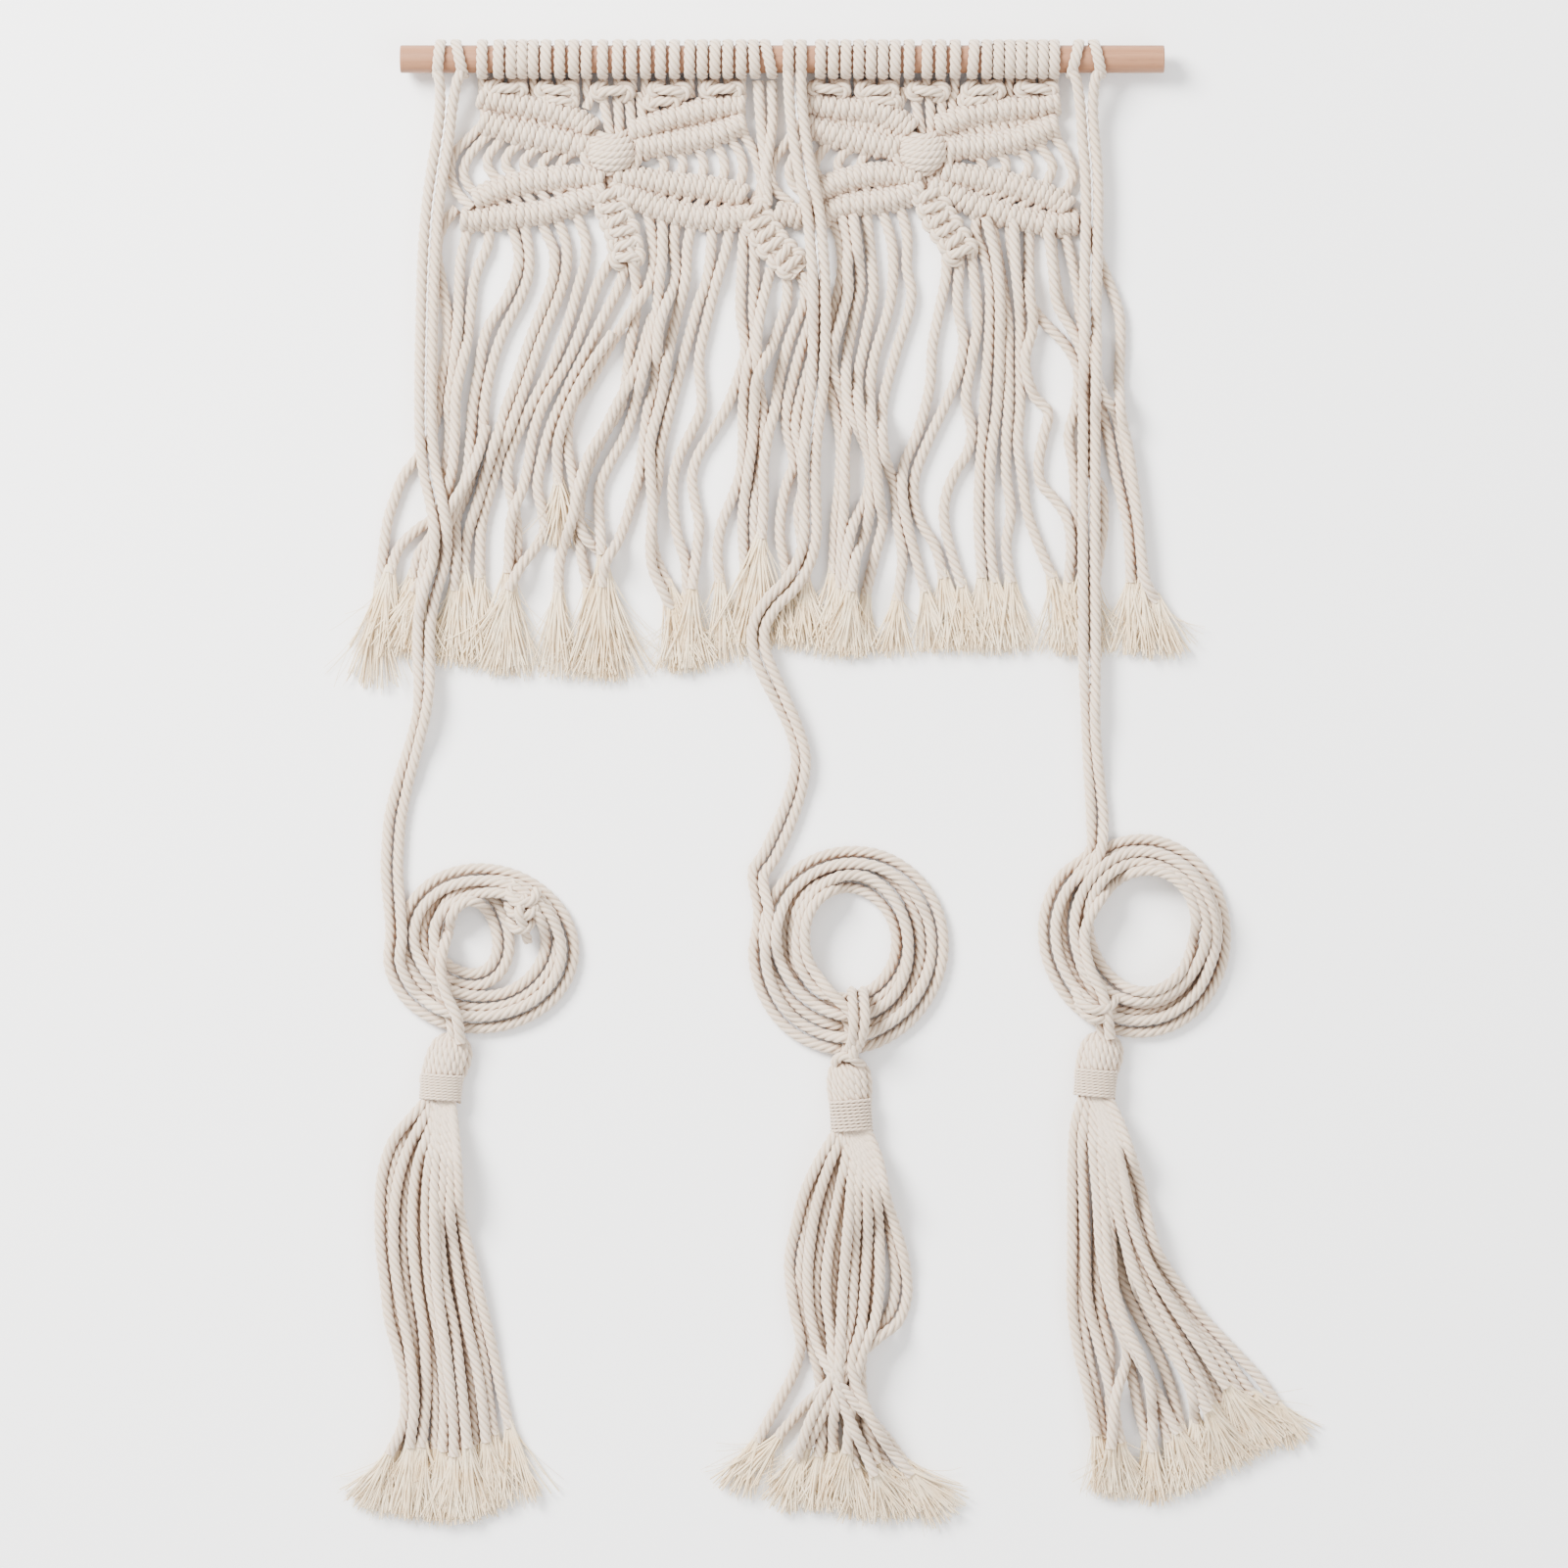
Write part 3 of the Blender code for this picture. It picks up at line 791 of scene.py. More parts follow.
@dataclass(frozen=True)
class BeechFinish(Finish):
    """Sanded beech with its grain along the dowel."""

    light: Colour = (0.33, 0.155, 0.077, 1.0)
    dark: Colour = (0.24, 0.104, 0.047, 1.0)

    def fill(self, tree: bpy.types.NodeTree, shader: bpy.types.Node) -> None:
        """Long grain and short pores.

        Args:
            tree: The node tree.
            shader: Its surface shader.
        """
        place = self.node(tree, "ShaderNodeTexCoord").outputs["Object"]
        grain = self.noise(tree, self.stretched(tree, place, (14.0, 420.0, 420.0)), 1.0, 6.0, 0.6, 0.4)
        pores = self.noise(tree, self.stretched(tree, place, (160.0, 2600.0, 2600.0)), 1.0, 2.0)
        colour = self.blend(tree, self.ramp(tree, grain, 0.3, 0.72, last=0.8), self.light, self.dark)
        colour = self.blend(tree, 1.0, colour, self.ramp(tree, pores, 0.6, 0.7, 1.0, 0.82), "MULTIPLY")
        self.coat(tree, shader, colour, grain, 0.2, 0.0004, Roughness=0.55)


@dataclass
class Workshop:
    """What every sub-assembly shares: the pile, the cord maker and the finishes."""

    pile: Pile = field(default_factory=Pile)
    maker: CordMaker = field(default_factory=CordMaker)
    cotton: bpy.types.Material = field(init=False)
    binding: bpy.types.Material = field(init=False)
    frayed: bpy.types.Material = field(init=False)

    def __post_init__(self) -> None:
        """Make the finishes."""
        self.cotton = CottonFinish("twisted_cotton").build()
        self.binding = CottonFinish("binding_yarn", strands=2).build()
        self.frayed = FrayedFinish("frayed_cotton").build()

    def lay(self, route: Route, style: CordStyle = COTTON_CORD, least: Sequence | None = None) -> Cord:
        """Lay a cord along plan points, on top of what lies there.

        Args:
            route: The plan points.
            style: The cord's size and twist.
            least: Heights along it that it is held at or above, or None.

        Returns:
            The cord.
        """
        flat = smooth_route(route, style.step)
        if least is not None:
            least = np.interp(np.linspace(0, 1, len(flat)), np.linspace(0, 1, len(least)), least)
        return Cord(self.pile.lay(flat, least=least), style)

    def settle(self, piece: bpy.types.Object, body: str, nodes: tuple[str, ...] = ()) -> bpy.types.Object:
        """Let a piece ride on a body and take the place of plain solids.

        Args:
            piece: The piece.
            body: The body.
            nodes: The solids that it stands for.

        Returns:
            The piece.
        """
        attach(piece, body)
        if nodes:
            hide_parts(*nodes)
        return piece

    def place(self, name: str, cords: list[Cord], body: str, nodes: tuple[str, ...] = (),
              material: bpy.types.Material | None = None) -> bpy.types.Object:
        """Finish a piece of cords and settle it.

        Args:
            name: Name of the piece.
            cords: The cords in it.
            body: The body that it rides on.
            nodes: The solids that it stands for.
            material: Its finish, or None for twisted cotton.

        Returns:
            The piece.
        """
        return self.settle(self.maker.piece(name, cords, material or self.cotton), body, nodes)


def heading_of(points: np.ndarray) -> float:
    """Direction in plan in which a cord ends.

    Args:
        points: The cord's points.

    Returns:
        The direction in radians.
    """
    run = points[-1] - points[-5]
    return math.atan2(run[1], run[0])


def beside(route: np.ndarray, reach: float | np.ndarray) -> np.ndarray:
    """Route moved sideways.

    Args:
        route: The points, with heights.
        reach: How far each moves, to the left of the run where it is above nothing.

    Returns:
        The moved points.
    """
    run = np.gradient(route[:, :2], axis=0)
    run /= np.linalg.norm(run, axis=1)[:, None] + 1e-9
    moved = route.copy()
    moved[:, 0] -= run[:, 1] * reach
    moved[:, 1] += run[:, 0] * reach
    return moved


# --------------------------------------------------------------------------- loops on the dowel

@dataclass(frozen=True)
class LoopSet:
    """Loops of one node: x of each at the top and at the bottom edge of the dowel."""

    node: str
    places: tuple[Point, ...]


def upright(*middles: float) -> tuple[Point, ...]:
    """Places of loops that cross the dowel squarely.

    Args:
        *middles: The x of each.

    Returns:
        Its x at the top and at the bottom edge.
    """
    return tuple((x, x) for x in middles)


LOOP_SETS = (
    LoopSet("left_drop_loops", ((-147.5, -148.8), (-141.0, -137.6))),
    LoopSet("left_panel_loops", upright(
        -129.5, -122.4, -116.9, -112.2, -107.5, -102, -96, -90, -84.5, -77.5, -71, -65, -59, -52.5,
        -46.5, -40, -34.5, -29, -23.5, -17.7) + ((-12.6, -11.6), (-7.6, -4.2))),
    LoopSet("middle_drop_loops", upright(2.6, 8.2)),
    LoopSet("right_panel_loops", upright(16.5, 22, 27.5, 33, 38.3, 43.5, 48.8, 54.8, 62.5, 68.5, 74.7)
            + ((83.0, 82.0),) + upright(88.3, 93.4, 98.3, 103, 107.9, 112.6, 117.4)),
    LoopSet("right_drop_loops", ((128.2, 124.8), (134.4, 137.8))),
)


@dataclass
class LoopsOnDowel:
    """The cords that pass round the dowel."""

    shop: Workshop
    middle_radius: float = 8.65
    pressed: float = 0.52
    first_angle: float = math.radians(-112)
    last_angle: float = math.radians(218)
    inner: float = 6.15
    stops: int = 40

    def loop(self, top: float, bottom: float) -> Cord:
        """One turn of cord, from low on the cloth's side over the top and round behind.

        Args:
            top: Its x at the dowel's top edge.
            bottom: Its x at the dowel's bottom edge.

        Returns:
            The cord.
        """
        points = []
        for angle in np.linspace(self.first_angle, self.last_angle, self.stops):
            y, z = self.middle_radius * math.sin(angle), self.middle_radius * math.cos(angle)
            share = (y / self.middle_radius + 1) / 2
            points.append((bottom + (top - bottom) * share, y, AXLE_HEIGHT + z))
        return Cord(np.array(points), COTTON_CORD)

    def press(self, piece: bpy.types.Object) -> None:
        """Press the loops flat against the dowel, radially.

        Args:
            piece: The piece of loops.
        """
        mesh = piece.data
        places = np.empty(len(mesh.vertices) * 3)
        mesh.vertices.foreach_get("co", places)
        places = places.reshape(-1, 3)
        y = (places[:, 1] - PLAN_ORIGIN[1]) / MM
        z = places[:, 2] / MM - AXLE_HEIGHT
        out = np.hypot(y, z)
        pressed = np.maximum(self.inner, self.inner + (out - self.inner) * self.pressed)
        places[:, 1] = PLAN_ORIGIN[1] + y * pressed / out * MM
        places[:, 2] = (AXLE_HEIGHT + z * pressed / out) * MM
        mesh.vertices.foreach_set("co", places.ravel())
        mesh.update()

    def build(self) -> None:
        """Make the loops, one piece for each sleeve of the frame."""
        for loops in LOOP_SETS:
            cords = [self.loop(top, bottom) for top, bottom in loops.places]
            piece = self.shop.place(loops.node.replace("_loops", "_turns"), cords, "root", (loops.node,))
            self.press(piece)


# ------------------------------------------------------------------------------ knots and wings

@dataclass(frozen=True)
class KnotStyle:
    """Shape of one square knot: a bar of cord across, with a loop at each side."""

    width: float
    height: float
    low: float
    crest: float


@dataclass
class Knots:
    """Square knots, wrapped bars and berry knots, all in millimetres.

    A square knot's bar slopes by a share of its height. The cores of a band are given by how far
    beside its middle and how high each lies. A bar's wraps stand pitch apart, reach half to each
    side and lean along it, and go through turns, which are shares across and heights. Every
    second wrap reaches further below the bar, by the share scallop, and lies sink lower. A berry
    knot's rows are given by shares up and across, and the cords that round it off by its rim.
    """

    shop: Workshop
    cords: list[Cord] = field(default_factory=list)
    slope: float = 0.35
    cores: tuple[Point, ...] = ((-3.4, 4.2), (-1.2, 5.4), (1.2, 5.4), (3.4, 4.2))
    core_stride: int = 6
    band_step: float = 0.5
    bar_step: float = 0.25
    bar_core: float = 4.2
    pitch: float = 3.0
    half: float = 3.4
    lean: float = 0.6
    scallop: float = 0.30
    sink: float = 0.55
    turns: tuple[Point, ...] = ((1.02, 1.6), (1.08, 3.6), (0.72, 5.5), (0.25, 7.3), (-0.25, 7.3),
                                (-0.72, 5.5), (-1.08, 3.6), (-1.02, 1.6))
    berry_half: Point = (11.6, 9.6)
    berry_crest: float = 10.4
    berry_foot: float = 2.6
    berry_floor: float = 2.4
    berry_stops: int = 9
    berry_inset: float = 1.6
    berry_sag: float = 2.2
    berry_shift: float = 1.2
    berry_rows: tuple[Point, ...] = ((0.86, 0.62), (0.56, 0.88), (0.24, 0.99), (-0.08, 1.0),
                                     (-0.40, 0.95), (-0.70, 0.80), (-0.96, 0.52))
    berry_rim: Solid = ((0.55, 0.95, 3.0), (0.9, 0.55, 4.4), (1.0, 0.0, 5.2), (0.9, -0.55, 4.4),
                        (0.55, -0.95, 3.0))

    def cord(self, points: Sequence | np.ndarray, style: CordStyle = TIGHT_CORD) -> None:
        """Add a cord whose heights are known, and put it on the pile.

        Args:
            points: Points of its middle line.
            style: Its size and twist.
        """
        smooth = smooth_route(points, style.step)
        self.shop.pile.add(smooth)
        self.cords.append(Cord(smooth, style))

    def square_knot(self, middle: Point, heading: float, knot: KnotStyle, flip: bool) -> None:
        """One square knot.

        Args:
            middle: Its middle in plan.
            heading: Direction that the band runs in, in radians.
            knot: Its shape.
            flip: Whether the bar slopes the other way.
        """
        side = Vector((math.sin(heading), -math.cos(heading)))
        down = Vector((math.cos(heading), math.sin(heading)))
        half, tall = knot.width / 2, knot.height / 2
        slope = -self.slope if flip else self.slope
        mid = (knot.low + knot.crest) / 2

        def tied(*turns: tuple[float, float, float]) -> None:
            """Tie a cord through points given as shares across and along, with a height."""
            points = []
            for across, along, height in turns:
                spot = Vector(middle) + side * across * half + down * along * tall
                points.append((spot.x, spot.y, height))
            self.cord(points)

        tied((-0.78, -slope, knot.low), (-0.52, -slope * 0.8, mid + 1.2), (-0.2, 0, knot.crest),
             (0.2, 0, knot.crest), (0.52, slope * 0.8, mid + 1.2), (0.78, slope, knot.low))
        for hand in Hand:
            out = hand.value
            tied((out * 0.30, -1.0, knot.low + 0.3), (out * 0.55, -0.95, mid), (out * 0.80, -0.35, mid + 1.0),
                 (out * 0.82, 0.3, mid + 0.6), (out * 0.60, 0.9, mid - 0.6), (out * 0.34, 1.1, knot.low))

    def band(self, route: Route, knot: KnotStyle, pitch: float) -> None:
        """A band of square knots, tied round a core.

        Args:
            route: Plan points of the band's middle.
            knot: Shape of its knots.
            pitch: Distance from one knot to the next.
        """
        spine = smooth_route(route, self.band_step)
        for reach, height in self.cores:
            core = beside(np.column_stack([spine, np.full(len(spine), height)]), reach)
            self.cord(core[::self.core_stride])
        stops = np.arange(pitch / 2, self.band_step * (len(spine) - 1), pitch)
        for index, stop in enumerate(stops):
            spot = int(stop / self.band_step)
            ahead, behind = spine[min(spot + 3, len(spine) - 1)], spine[max(spot - 3, 0)]
            heading = math.atan2(*(ahead - behind)[::-1])
            self.square_knot(tuple(spine[spot]), heading, knot, index % 2 == 1)

    def bar(self, route: Route) -> None:
        """A bar of half hitches: cord wrapped closely round a core.

        Args:
            route: Plan points of the bar's middle.
        """
        spine = smooth_route(route, self.bar_step)
        self.cord([(x, y, self.bar_core) for x, y in spine[::8]], COTTON_CORD)
        count = max(2, int(round(self.bar_step * (len(spine) - 1) / self.pitch)))
        for index in range(count):
            spot = int((index + 0.5) * (len(spine) - 1) / count)
            ahead, behind = spine[min(spot + 6, len(spine) - 1)], spine[max(spot - 6, 0)]
            run = (ahead - behind) / (np.linalg.norm(ahead - behind) + 1e-9)
            side = np.array([-run[1], run[0]])
            wobble = self.shop.maker.chance.uniform(-0.25, 0.25)
            wrap = []
            for across, height in self.turns:
                if index % 2:
                    across *= 1 + (self.scallop if across < 0 else 0)
                    height -= self.sink
                place = spine[spot] + side * self.half * across + run * (self.lean * across + wobble)
                wrap.append((place[0], place[1], height))
            self.cord(wrap, HITCH_CORD)

    def lattice(self, rows: tuple[Route, Route], count: int, lean: float, height: float) -> None:
        """Short cords that cross from one bar to the next.

        Args:
            rows: Plan points of the bar that they leave and of the one that they reach.
            count: Number of cords.
            lean: Share of the length by which they run on between the two.
            height: Height of their middle line.
        """
        one, two = (smooth_route(row, self.band_step) for row in rows)
        for index in range(count):
            share = (index + 0.5) / count
            start = one[int(np.clip(share - lean / 2, 0, 1) * (len(one) - 1))]
            end = two[int(np.clip(share + lean / 2, 0, 1) * (len(two) - 1))]
            self.cord([(*start, height), (*((start + end) / 2), height + 0.6), (*end, height)])

    def berry(self, middle: Point) -> None:
        """A round knot: cords that lie side by side over a dome, with one round each side.

        Args:
            middle: Its middle in plan.
        """
        foot, low = self.berry_foot, self.berry_floor
        wide, tall = self.berry_half
        for up, reach in self.berry_rows:
            arc = []
            top = foot + (self.berry_crest - foot) * math.sqrt(1 - up * up * 0.9)
            for across in np.linspace(-1.0, 1.0, self.berry_stops):
                x = middle[0] + across * (wide - self.berry_inset) * reach
                sag = (1 - across * across) * self.berry_sag
                y = middle[1] + up * (tall - self.berry_inset) - sag + self.berry_shift
                dome = math.sqrt(max(0.0, 1 - (across * 0.98) ** 2))
                arc.append((x, y, low + (top - low) * dome))
            self.cord(arc, HITCH_CORD)
        for hand in Hand:
            self.cord([(middle[0] + hand.value * wide * across, middle[1] + tall * up, height)
                       for across, up, height in self.berry_rim])


CLUSTER = KnotStyle(width=19.0, height=5.6, low=3.4, crest=8.0)
CLUSTER_UNDER = KnotStyle(width=15.5, height=5.6, low=2.8, crest=6.4)
BAND = KnotStyle(width=14.6, height=6.2, low=3.2, crest=7.6)

# Middles of the knots in the row under the loops
CLUSTERS = (
    (-119.5, -12.5), (-97.5, -13.2), (-73.5, -13.6), (-49, -13.4), (-26, -12.8),
    (20, -12.8), (41, -13.2), (63, -13.6), (87, -13.2), (110, -12.6),
)

# Middles of the knots that show under that row
UNDER_CLUSTERS = ((-96, -17.6), (-52, -18), (43.5, -17.6), (84, -17.6))

# Strands that lead to the berry knot and on below it, measured from the berry knot
STEMS = (
    ((-8, 28), (-9, 24), (-11, 19)), ((-4, 26), (-2.5, 18), (-0.5, 8)), ((2.5, 25), (3.2, 18), (3.6, 8)),
    ((7.5, 26), (8.2, 19), (9, 9)), ((12, 26), (13, 20), (14, 12)),
    ((-5, -4), (-4.6, -11), (-3, -18)), ((-1, -4), (-0.6, -11), (0.4, -18)),
    ((3, -4), (3.2, -11), (4, -18)), ((7, -4), (6.6, -11), (6.8, -18)),
)

WINGS = {
    "left_wing_top_left": (
        ((-131, -15.5), (-120, -17.5), (-110, -19.5), (-100, -21.5), (-90, -25), (-82, -30)),
        ((-130, -26), (-120, -29.5), (-110, -32), (-100, -34), (-90, -35.8), (-82, -37.5))),
    "left_wing_bottom_left": (
        ((-133, -61), (-125, -56.5), (-115, -53.5), (-105, -51.5), (-95, -50.5), (-85, -50.2),
         (-77, -51)),
        ((-139, -69), (-130, -68.2), (-120, -67.5), (-110, -66.5), (-100, -65), (-92, -62),
         (-84, -59), (-77, -55.5))),
    "left_wing_top_right": (
        ((-66, -31), (-60, -29.5), (-52, -26), (-43, -23.5), (-34, -21), (-25, -19.5), (-16, -19)),
        ((-63, -37.5), (-55, -36.5), (-46, -35), (-37, -33.5), (-28, -31.5), (-22, -29), (-16, -26))),
    "left_wing_bottom_right": (
        ((-72, -50.5), (-62, -51), (-52, -53), (-42, -54), (-32, -55), (-24, -56.5), (-16, -59)),
        ((-71, -56.5), (-62, -60), (-52, -64), (-42, -66.5), (-32, -68), (-22, -68), (-14, -66))),
    "right_wing_top_left": (
        ((8, -18), (16, -19), (26, -20.5), (36, -21), (45, -23), (52, -27), (57, -30)),
        ((10, -27.6), (20, -31), (30, -34), (40, -36), (50, -38))),
    "right_wing_bottom_left": (
        ((15, -57), (22, -53.5), (32, -50.5), (42, -49), (52, -49.5), (60, -51)),
        ((-3, -66), (8, -67), (18, -66), (27, -63), (36, -61.5), (46, -60), (54, -57.5), (61, -54.5))),
    "right_wing_top_right": (
        ((67, -29), (75, -25.5), (84, -22.5), (94, -21), (104, -20), (113, -19), (120, -17)),
        ((72, -38), (82, -37), (92, -36), (102, -34), (110, -31), (119, -27))),
    "right_wing_bottom_right": (
        ((70, -48.5), (80, -50), (90, -51.5), (100, -54), (110, -57), (118, -60), (124, -64)),
        ((64, -54), (73, -57), (82, -62), (92, -65), (102, -68), (112, -70), (120, -70.5), (128, -69))),
}

BERRIES = {"left": (-74.0, -40.0), "right": (61.0, -40.0)}

BANDS = {
    "left_sinnet": ((-76, -56), (-72, -68), (-69, -75), (-67, -86)),
    "joining_sinnet": ((-14, -63), (-9, -72), (-4, -80), (2, -86), (8, -92)),
    "right_sinnet": ((62.5, -56), (68, -69), (73, -76), (79, -86)),
}

# Cords that run down into a band from the dowel
BAND_CORDS = {
    "joining_sinnet": (
        ((-10.5, -9, 5.0), (-9, -30, 4.6), (-7, -50, 5.4), (-6.5, -63, 5.6)),
        ((-4.6, -9, 5.0), (-4.2, -25, 4.8), (-6, -40, 5.6), (-8, -55, 5.6), (-10, -64, 5.2))),
}

# Cords that bow out between the upper and the lower wings
ARCS = {
    "left_panel_left_arc": (
        ((-127, -25), (-136, -34), (-141, -39), (-143.5, -45), (-143, -52), (-140, -58), (-134, -64)),
        ((-124, -29), (-133, -38), (-137, -44), (-138, -49), (-136, -54), (-130, -60)),
        ((-119, -31), (-124, -37), (-127.5, -42), (-127, -47), (-120, -54)),
        ((-111, -34), (-119, -41), (-119.5, -46), (-112, -53)),
        ((-102, -35), (-110, -41), (-112, -45), (-106, -52)),
        ((-95, -36), (-102, -42), (-104, -46), (-99, -51)),
        ((-89, -37), (-94, -42), (-96, -46), (-91, -51))),
    "left_panel_right_arc": (
        ((-19, -29), (-13, -38), (-10.5, -46), (-9, -54), (-13, -62)),
        ((-23, -33), (-18, -41), (-17, -48), (-20, -57)),
        ((-31, -33), (-26, -41), (-25, -48), (-28, -55)),
        ((-40, -34), (-35, -41), (-34, -47), (-37, -54)),
        ((-49, -36), (-44, -41), (-43, -46), (-47, -53)),
        ((-57, -37), (-52, -42), (-51, -46), (-55, -51))),
    "right_panel_left_arc": (
        ((8, -27), (0, -38), (-4, -44), (-5, -50), (-3, -56), (4, -62)),
        ((15, -30), (6, -40), (3, -47), (5, -54), (14, -60)),
        ((24, -32), (16, -41), (14, -47), (20, -55)),
        ((33, -34), (26, -41), (24, -46), (29, -52)),
        ((42, -36), (36, -41), (34, -45), (39, -50))),
    "right_panel_right_arc": (
        ((113, -28), (121, -37), (124, -43), (126, -50), (120, -61)),
        ((106, -32), (114, -40), (117, -46), (112, -57)),
        ((97, -34), (105, -41), (107, -46), (102, -54)),
        ((88, -36), (95, -41), (97, -46), (92, -52)),
        ((79, -37), (85, -42), (87, -46), (82, -51))),
}


@dataclass
class Cloth:
    """The two knotted panels under the dowel.

    The cords between two bars are upper_cords at the height under in an upper wing, and
    lower_cords at the height crossing and with a slant in a lower one. A strand falls from each
    loop of the panels, but for those over the bare part.
    """

    shop: Workshop
    upper_cords: int = 14
    under: float = 1.9
    lower_cords: int = 10
    crossing: float = 2.5
    slant: float = 0.16
    band_pitch: float = 5.7
    fall: Solid = ((0.0, -7.5, 4.6), (0.0, -12.0, 3.6), (0.4, -16.0, 2.8))
    bare_part: Point = (-14.0, -2.0)
    stem_height: float = 3.4

    def top_row(self) -> None:
        """The strands that leave the loops and the row of square knots that gathers them."""
        knots = Knots(self.shop)
        for loops in LOOP_SETS:
            if "panel" not in loops.node:
                continue
            for _, loop in loops.places:
                if not self.bare_part[0] < loop < self.bare_part[1]:
                    knots.cord([(loop + x, y, height) for x, y, height in self.fall])
        for middle in BERRIES.values():
            for stem in STEMS:
                knots.cord([(middle[0] + x, middle[1] + y, self.stem_height) for x, y in stem])
        for middles, knot, flipped in ((UNDER_CLUSTERS, CLUSTER_UNDER, 0), (CLUSTERS, CLUSTER, 1)):
            for index, middle in enumerate(middles):
                knots.square_knot(middle, -math.pi / 2, knot, index % 2 == flipped)
        self.shop.place("top_row_knots", knots.cords, "root", ("left_knot_row", "right_knot_row"))

    def wing(self, name: str, rows: tuple[Route, Route]) -> None:
        """Two bars of half hitches with the cords that cross between them.

        Args:
            name: Name of the wing.
            rows: Plan points of its upper and its lower bar.
        """
        knots = Knots(self.shop)
        if "top" in name:
            knots.lattice(rows, self.upper_cords, 0.0, self.under)
        else:
            slant = self.slant if name.endswith("left") else -self.slant
            knots.lattice(rows, self.lower_cords, slant, self.crossing)
        for row in rows:
            knots.bar(row)
        self.shop.place(f"{name}_hitches", knots.cords, "root", (f"{name}_outer", f"{name}_inner"))

    def arcs(self) -> None:
        """The cords that bow out between the wings."""
        for node, routes in ARCS.items():
            cords = [self.shop.lay(route, TIGHT_CORD) for route in routes]
            self.shop.place(f"{node}_cords", cords, "root", (node,))

    def build(self) -> None:
        """Make the knotted part of both panels."""
        self.arcs()
        self.top_row()
        for name, rows in WINGS.items():
            self.wing(name, rows)
        for side, middle in BERRIES.items():
            knots = Knots(self.shop)
            knots.berry(middle)
            self.shop.place(f"{side}_berry_cords", knots.cords, "root", (f"{side}_berry_knot",))
        for node, route in BANDS.items():
            knots = Knots(self.shop)
            for fall in BAND_CORDS.get(node, ()):
                knots.cord(fall, COTTON_CORD)
            knots.band(route, BAND, self.band_pitch)
            self.shop.place(f"{node}_knots", knots.cords, "root", (node,))


# -------------------------------------------------------------------------------------- fringe

@dataclass(frozen=True)
class Strand:
    """One strand: its route and how far its frayed end runs on, or nothing for as far as the cut."""

    route: Route
    frays: float = 0.0
    fan: float = 0.115


# Line that the frayed ends of the fringe are cut along
CUT_LINE = (
    (-200, -260), (-170, -259), (-153, -259), (-149, -265), (-138, -262), (-122, -260), (-118, -267),
    (-78, -269), (-58, -266), (-30, -265), (-20, -255), (8, -255), (12, -259), (57, -259), (60, -257),
    (110, -258), (150, -258), (170, -262), (200, -262),
)

